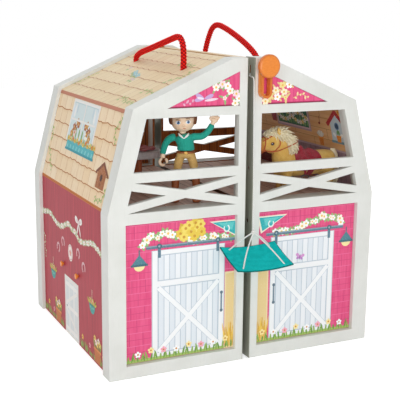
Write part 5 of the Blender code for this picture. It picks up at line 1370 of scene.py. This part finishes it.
def wall_picture(name, board, body, flip):
    """The picture on a side wall."""
    garland(board, [(134, 127), (103, 131), (83, 126), (59, 124), (31, 133), (16, 130), (2, 129), (-8, 124),
        (-26, 125), (-53, 131), (-69, 129), (-81, 126)], ["fbf3ea", "f6d9d6", "ffffff"], "e7b65a", "cfe0b0", 6.2, 4.0,
        flip)
    for side in (-1, 1):
        draw(board, ("petal", -8, 143, 9, 13, "fbf6f2", side * 72, 4), ("petal", -8, 143, 5, 8, "e9d3d2", side * 72,
            5), ("leaf", -8, 143, 5, 17, "f5ece8", 180 + side * 24, 3))
    stamp(board, "disc", -8, 143, 4.2, 4.2, "f1dedc", 0, 6)
    for a, b, turn in ((71, 96, 20), (52, 107, -12), (-4, 107, 10), (-23, 96, -18)):
        horseshoe(board, a, b, 12, turn * flip)
    draw(board, ("disc", 24, 101, 17, 20, "f7ede6", 0, 2), ("disc", 24, 101, 14, 17, "d9737f", 0, 3),
        ("disc", 24, 101, 12.6, 15.6, "fbf3ea", 0, 4))
    flower(board, 24, 101, 8, "e9a3a6", "e7b65a", 5)
    hanging_basket(board, 94, 61, flip)
    hanging_basket(board, -50, 62, flip)
    draw(board, ("bar", 22.5, 35, 51, 70, "f3efe9", 0, 2), ("bar", 22.5, 34, 43, 62, "cfd9dc", 0, 3))
    for k in range(5):
        stamp(board, "bar", 5.3 + 8.6 * k, 34, 7.9, 62, "f2f4f2" if k % 2 else "e7ecec", 0, 4)
    for b in (7, 34, 61):
        stamp(board, "bar", 22.5, b, 43, 4.6, "fbfaf6", 0, 5)
    for b, turn in ((20.5, 27), (47.5, -27)):
        stamp(board, "bar", 22.5, b, 46, 4.0, "f7f6f1", turn * flip, 6)
    stamp(board, "disc", 40, 34, 3, 3, "8b9aa0", 0, 7)
    vine(board, [(130, 100), (126, 92), (129, 84), (125, 76), (127, 70)], "d3c49a", "dfe6c4", 4, 3.4, flip)
    for k in range(30):
        a = -84 + 7.4 * k + 1.5 * sin(3 * k)
        if not -4 < a < 49:
            for lean in (-26, 0, 24):
                stamp(board, "leaf", a, 1.2, 2.6, 9 + 3 * sin(k + lean), "7f9f4a" if lean else "a9bf5e", lean, 2)
            if k % 3 == 0:
                flower(board, a, 14 + 2 * sin(k), 6.5, ("f4c95a", "f7efe6", "ee9fb0")[k // 3 % 3], "b86a2f", 4)
    for a in (76, -66):
        draw(board, ("tub", a, 2, 22, 15, "c9743c", 0, 5), ("bar", a, 16.2, 24, 2.6, "e08d4d", 0, 6))
        for k in range(5):
            stamp(board, "leaf", a - 8 + 4 * k, 16, 4.2, 12, "8fae52", 12 * (k - 2) * -flip, 4)
            flower(board, a - 8 + 4 * k, 25 + 3 * sin(2 * k), 7, ("f7d774", "fff4ea")[k % 2], "c97a3a", 7)
    printed_board(name, board, body, "printed_board")


wall_picture("left_wall_picture", sheet_on((-0.1527, 0, 0), (0, 1, 0), (0, 0, 1), (-1, 0, 0)), "left_half", -1)
wall_picture("right_wall_picture", sheet_on((0.1527, 0, 0), (0, 1, 0), (0, 0, 1), (1, 0, 0)), "right_half", 1)


# Roof pictures: a white window with a flower box, a brown birdhouse and green vines on the
# steep boards, and loose vines with blue-grey flowers on the upper ones.
def steep_picture(name, board, body, flip):
    draw(board, ("bar", 30, 77, 90, 48, "f4f2ee", 0, 2), ("bar", 30, 77, 82, 41, "c9dcdf", 0, 3))
    for side in (-1, 1):
        stamp(board, "bar", 30 + side * 20, 77, 38, 39, "dbe9ea", 0, 4)
        for k in range(3):
            stamp(board, "petal", 30 + side * (38 - 6 * k), 97, 9 - 2 * k, 24 - 6 * k,
                ("e3edf2", "f6f7f5", "cfdfe6")[k], 180 + side * 6 * flip, 5 + k)
        for k in range(5):
            flower(board, 30 + side * (12 + 4.5 * k), 74 - 3 * k + 5 * (k % 2), 9.5,
                ("a85a34", "c98a45", "8e4630")[k % 3], "e9c27a", 6)
    draw(board, ("bar", 30, 77, 3, 42, "f4f2ee", 0, 9), ("bar", 30, 78, 82, 2.4, "f4f2ee", 0, 9))
    flower(board, 10, 66, 13, "fbf7ec", "e3a63f", 6)
    flower(board, 50, 64, 11, "f1d6cf", "c97a3a", 6)
    for k in range(6):
        stamp(board, "leaf", 4 + 10 * k, 57, 6, 13, "7ea65a", -12 + 5 * k, 5)
    draw(board, ("bar", 22, 48, 94, 10, "4fb5bd", 0, 8), ("bar", 22, 43.5, 98, 2.6, "2f97a3", 0, 9))
    for k in range(9):
        stamp(board, "petal", -20 + 10.5 * k, 50, 4, 5, "8fd4d6", 180, 9)
    for k in range(26):
        a = -24 + 3.7 * k
        stamp(board, "leaf", a, 52.5, 3.4, 6 + 1.5 * sin(2.6 * k), "8fb04c" if k % 2 else "6f9a4a", 20 * sin(k), 9)
        if k % 2 == 0:
            flower(board, a, 56 + 1.6 * sin(1.7 * k), 5.6, ("f6c445", "ef8f3c", "f9e089")[k // 2 % 3], "b8602a", 10)
    stamp(board, "bar", -62.5, 28, 25, 17, "a9673a", 0, 3)
    for k in range(4):
        stamp(board, "bar", -72 + 6.3 * k, 28, 0.6, 17, "7d4523", 0, 4)
    stamp(board, "wedge", -62.5, 36, 28, 11, "a9673a", 0, 4)
    for side in (-1, 1):
        stamp(board, "bar", -62.5 + side * 8.8, 40.5, 23, 3.4, "7a4226", -33 * side * flip, 5)
    draw(board, ("disc", -62.5, 31, 7.5, 7.5, "5c2f1b", 0, 5), ("disc", -62.5, 31, 5.2, 5.2, "3a1d12", 0, 6),
        ("bar", -62.5, 24, 2, 4.5, "7a4226", 0, 6))
    vine(board, [(137, 88), (137, 70), (130, 56), (125, 46)], "86a25a", "a3bd6d", 5.4, 4.2, flip)
    vine(board, [(128, 36), (123, 30), (112, 20), (104, 12)], "86a25a", "b3c978", 5.0, 4.2, flip)
    vine(board, [(-82, 22), (-78, 12), (-68, 7), (-56, 10)], "86a25a", "9dbb66", 5.0, 4.0, flip)
    vine(board, [(-84, 96), (-76, 90), (-72, 80), (-78, 70)], "86a25a", "a9c270", 4.6, 4.0, flip)
    printed_board(name, board, body, "roof_print")


def upper_picture(name, board, body, flip):
    for k, (a, b) in enumerate([(18, 61), (24, 63.5), (30, 63), (36, 66), (42, 69), (12, 53), (19, 54), (70, 74)]):
        flower(board, a, b, 7 if k < 5 else 5, "9fd0da" if k < 5 else "d8c4cc", "f3e6bd", 3, 6, 12 * k)
        for side in (-1, 1):
            stamp(board, "leaf", a + 3 * side, b - 3, 3, 6, "a9bf86", 130 * flip * side, 2)
    for points in ([(-34, 14), (-44, 19), (-62, 13), (-81, 15)], [(-52, 34), (-59, 41), (-72, 38), (-84, 44)],
            [(-58, 60), (-65, 67), (-73, 78), (-71, 92)], [(-20, 98), (-40, 101), (-58, 96)]):
        vine(board, points, "93a873", "b2c27f", 6.0, 4.4, flip)
    vine(board, [(132, 20), (124, 30), (128, 42), (122, 52)], "93a873", "b9c98a", 5.0, 4.4, flip)
    printed_board(name, board, body, "roof_print")


for half, sign in HALVES:
    steep_picture(f"{half}_steep_picture", on_slope(sign, *STEEP_LOW, STEEP), f"{half}_half", sign)
    upper_picture(f"{half}_upper_picture", on_slope(sign, 0.1285, 0.273485, UPPER), f"{half}_half", sign)


# Gable and stable-door pictures, the same on the front and the back: flowers in the gables;
# below a grey-blue rail with a white sliding door, two teal pennants and a flower garland.
SHAPES["left_pennant"] = cut_shape("left_pennant", 3, lambda t: ((-0.5, 0.37, 0.5)[round(t * 3)],
    (0.5, -0.5, 0.5)[round(t * 3)]))
SHAPES["right_pennant"] = cut_shape("right_pennant", 3, lambda t: ((-0.5, -0.37, 0.5)[round(t * 3)],
    (0.5, -0.5, 0.5)[round(t * 3)]))
GARLANDS = {-1: [(-118, 138), (-113, 144), (-107, 148), (-101, 146), (-93, 151), (-84, 146), (-71, 143), (-58, 138),
    (-48, 141), (-40, 140), (-25, 139), (-15, 137)], 1: [(36, 137), (45, 138), (53, 137), (63, 138), (75, 144),
    (89, 146), (96, 151), (102, 147), (114, 147), (122, 140)]}


def door_picture(name, board, body, m):
    """The picture on a lower filling; m is -1 on the viewer's left and 1 on the right."""
    left, right = (-108, -24.5) if m < 0 else (31, 112)
    middle, wide = (left + right) / 2, right - left
    draw(board, ("bar", middle, 73, wide, 118, "c9d3dc", 0, 1), ("bar", middle, 73, wide - 2, 117, "f3f5f6", 0, 2))
    field = wide - 15
    for low, high in ((100, 126), (22, 92)):
        stamp(board, "bar", middle, (low + high) / 2, field + 2, high - low + 2, "b9c5d1", 0, 3)
        count = round(field / 6.3)
        for k in range(count):
            stamp(board, "bar", middle - field / 2 + (k + 0.5) * field / count, (low + high) / 2, field / count - 0.8,
                high - low, "eef2f5" if k % 2 else "e2e9ef", 0, 4)
    for turn in (-1, 1):
        stamp(board, "bar", middle, 57, hypot(field, 70), 6.0, "c3ced8", turn * degrees(atan2(70, field)), 5)
        stamp(board, "bar", middle, 57, hypot(field, 70), 5.0, "f6f8f9", turn * degrees(atan2(70, field)), 6)
    handle = -28 if m < 0 else 36
    stamp(board, "bar", handle, 68, 1.9, 20, "6f8594", 0, 7)
    for b in (58, 78):
        stamp(board, "disc", handle, b, 3.6, 3.6, "5f7584", 0, 8)
    near = -17 if m < 0 else 22
    draw(board, ("bar", near, 57, 14, 86, "f0dcae", 0, 2), ("bar", near, 57, 11, 82, "e9cf94", 0, 3))
    for k in range(16):
        stamp(board, "leaf", near - 6 + 0.8 * k, 15, 2.4, 24 + 6 * sin(2.1 * k), "efc95a" if k % 2 else "d9a93c",
            9 * sin(1.3 * k), 5)
    low, high = (-114, -8) if m < 0 else (25, 123.5)
    draw(board, ("bar", (low + high) / 2, 135.6, high - low, 3.4, "5d7f90", 0, 5), ("bar", (low + high) / 2, 136.5,
        high - low, 0.9, "93adb8", 0, 6))
    for a in ((-99.5, -33) if m < 0 else (37.5, 105)):
        draw(board, ("bar", a, 130.5, 3.4, 13, "5d7f90", 0, 7), ("disc", a, 136.2, 5.6, 5.6, "486878", 0, 8),
            ("disc", a, 136.2, 2.4, 2.4, "93adb8", 0, 9))
    lamp = -121.5 if m < 0 else 128
    draw(board, ("bar", lamp, 131, 1.4, 7, "4a6b77", 0, 6), ("wedge", lamp, 119, 17, 10.5, "4f8490", 0, 7),
        ("bar", lamp, 118.2, 18.5, 2.2, "3c6a77", 0, 8), ("bowl", lamp, 117.5, 12, 5.5, "f7e7a8", 0, 7))
    shape, a = ("left_pennant", -24.5) if m < 0 else ("right_pennant", 32)
    draw(board, (shape, a, 147, 37, 19, "fbf3dc", 0, 9), (shape, a - 0.3 * m, 147.6, 31.5, 15, "2fb3b8", 0, 10),
        (shape, a - 0.6 * m, 149.6, 20, 8.5, "63cdcb", 0, 11))
    for k in (0, 1):
        stamp(board, "arch", a - 1.5 * m, 147.6 + 0.1 * k, 7.4 - 3 * k, 8.4 - 3.2 * k, ("eef7f2", "35b5ba")[k],
            180 - 14 * m, 12 + k)
    if m < 0:
        for k, (x, z) in enumerate([(-76, 147), (-70, 152), (-64, 148), (-57, 152), (-52, 147), (-66, 155),
                (-59, 157), (-72, 143), (-60, 143), (-53, 155)]):
            stamp(board, "leaf", x, z, 5, 9, "d8b23c", 50 * k, 3)
            flower(board, x, z, 10.5, "f3dc6a" if k % 2 else "eacb4e", "cf9a35", 4, 6, 17 * k)
    else:
        for side in (-1, 1):
            draw(board, ("petal", 68, 106, 4.4, 6.5, "d59ad0", side * 58 - 12, 7), ("petal", 68, 106, 3.2, 4.6,
                "b97fc4", side * 118 - 12, 7))
        stamp(board, "bar", 68, 106, 0.9, 5.5, "7a4a86", -12, 8)
        vine(board, [(47, 84), (54, 80), (60, 72), (62, 66)], "9ab87c", "a9c98a", 5.2, 3.6)
    garland(board, GARLANDS[m], ["ffffff", "fbe3ea", "fff6ea"], "f0c860", "8fbf76", 8.2, 4.4)
    stamp(board, "bar", m * 75.5, 15.6, 124, 3.2, "a9c46a", 0, 2)
    for k in range(34):
        x = m * 15.5 + m * 3.6 * k
        stamp(board, "leaf", x, 14.4, 3, 9 + 2.5 * sin(2.4 * k), "8fb254" if k % 2 else "6f9a45", 16 * sin(1.9 * k),
            8)
        if k % 4 == 2:
            flower(board, x, 24 + 1.5 * sin(k), 7, ("fbe7a2", "ffffff", "f7a9bb")[k // 4 % 3], "cc8a3a", 9)
    printed_board(name, board, body, "printed_board")


def gable_picture(name, board, body, m):
    """The flowers in a gable."""
    spots = ([(-40, 296), (-33, 299), (-27, 297), (-24, 292), (-17, 289), (-13.8, 284), (-18, 279.5), (-30, 285)]
        if m < 0 else [(17, 280), (22, 285), (31, 284), (39, 289), (37, 296), (45, 297.5), (29, 291), (41, 283)])
    for k, (a, b) in enumerate(spots):
        for spread in (30, 150, 265):
            stamp(board, "leaf", a, b, 3.4, 7.4, "8dbb74" if m < 0 else "e6d28a", spread + 40 * k, 2)
        b = min(b, 277 + (91 - abs(a)) * 0.42)
        flower(board, a, b, 8.2 if k != 7 else 5.0, ("fff7ef", "fbdfe4", "ffffff")[k % 3] if m < 0
            else ("fdf3d2", "f6e39a", "ffffff")[k % 3], "efc35c", 3, 5, 29 * k)
    if m < 0:
        for turn in (62, 96, -70):
            stamp(board, "petal", -53, 285, 5, 11, "c9a6d6", turn, 3)
        draw(board, ("petal", -53, 285, 3, 8, "efe2f2", 80, 4), ("leaf", -53, 283, 4, 16, "f2d9e6", -84, 2))
        vine(board, [(-76, 281), (-66, 282), (-60, 287)], "c77aa0", "e9b3c9", 4, 3.4)
    else:
        vine(board, [(52, 283), (60, 286), (70, 281)], "e9c98a", "f3dfa6", 4, 3.4)
    printed_board(name, board, body, "printed_board")


def room_picture(name, board, body, flip):
    """The picture inside the steep roof: a framed meadow, a birdhouse, a pot and a crate."""
    draw(board, ("bar", 19.5, 83, 79, 44, "b99ba8", 0, 2), ("bar", 19.5, 83, 75, 40, "d9bcc2", 0, 3),
        ("bar", 19.5, 83, 71, 36, "2f6a55", 0, 4))
    for k in range(26):
        a = -14 + 2.7 * k
        stamp(board, "leaf", a, 65.5, 4.0, 13 + 5 * sin(2.2 * k), "4f8a58" if k % 2 else "7aa865", 14 * sin(k), 5)
        flower(board, a, 76 + 6 * sin(2.9 * k), 6, ("f4efe0", "f0d68c", "dfe9ea")[k % 3], "c9a24a", 6)
    draw(board, ("tub", 66, 64, 14, 13, "9c2f33", 0, 4), ("bar", 66, 77.4, 15.5, 2.4, "b9474a", 0, 5))
    for k in range(5):
        stamp(board, "leaf", 60 + 3 * k, 77, 4, 11, "8c3a3c", 14 * (k - 2) * -flip, 3)
    draw(board, ("bar", -77, 67, 26, 24, "c3d3da", 0, 3), ("wedge", -77, 78, 28, 12, "c3d3da", 0, 4))
    for side in (-1, 1):
        stamp(board, "bar", -77 + side * 9.5, 83.5, 27, 5.2, "b5262b", -41 * side * flip, 5)
    draw(board, ("disc", -77, 75, 9, 9, "5b7fa6", 0, 5), ("disc", -77, 75, 6, 6, "2e4661", 0, 6),
        ("petal", -80, 62, 5, 8, "f5f3ee", -60, 6), ("petal", -74, 62, 5, 8, "e9eef0", 60, 6),
        ("bar", -77, 55.6, 30, 3, "6f94a0", 0, 5), ("tub", -78, 56, 10, 8, "e08a34", 0, 7))
    for k in range(3):
        stamp(board, "leaf", -81 + 3 * k, 64, 3, 7, "6c9a62", 16 * (1 - k) * -flip, 6)
    for k in range(4):
        flower(board, -93 + 4 * k, 92 - 4 * (k % 2), 6, "e9a13c", "b9622c", 4)
    draw(board, ("disc", -40.7, 74.5, 3.6, 3.2, "8c2a24", 0, 4), ("bar", -42.2, 79, 0.9, 9, "8c2a24", 0, 4),
        ("tub", -39, 47, 10, 9, "d9822f", 0, 7), ("bar", -39, 56.4, 11.5, 2, "e99a48", 0, 8))
    for k in range(5):
        stamp(board, "petal", -39, 57, 4.5, 9, "f3ede0" if k % 2 else "e3dccb", 26 * (k - 2), 6)
    stamp(board, "bar", 106, 8, 52, 14, "5c1218", 0, 6)
    for k in range(3):
        stamp(board, "bar", 106, 3.6 + 4.6 * k, 50, 3.6, "701a20", 0, 7)
    for a in (82, 130):
        stamp(board, "bar", a, 8, 3.4, 15, "4a0d12", 0, 8)
    stamp(board, "bar", 14, 44.6, 236, 1.7, "c9aeb8", 0, 3)
    printed_board(name, board, body, "roof_print")


for half, sign in HALVES:
    for end, side in (("front", -1), ("back", 1)):
        way = (-side, 0, 0)
        door_picture(f"{half}_{end}_door_picture", sheet_on((0, -0.1083 if side < 0 else 0.1485, 0), way, (0, 0, 1),
            (0, side, 0)), f"{half}_half", -sign * side)
        gable_picture(f"{half}_{end}_gable_picture", sheet_on((0, -0.1134 if side < 0 else 0.1536, 0), way, (0, 0, 1),
            (0, side, 0)), f"{half}_half", -sign * side)
    room_picture(f"{half}_room_picture", on_slope(sign, 0.149445, 0.171102, STEEP, -1), f"{half}_half", -sign)
for shape in SHAPES.values():
    bpy.data.objects.remove(shape)
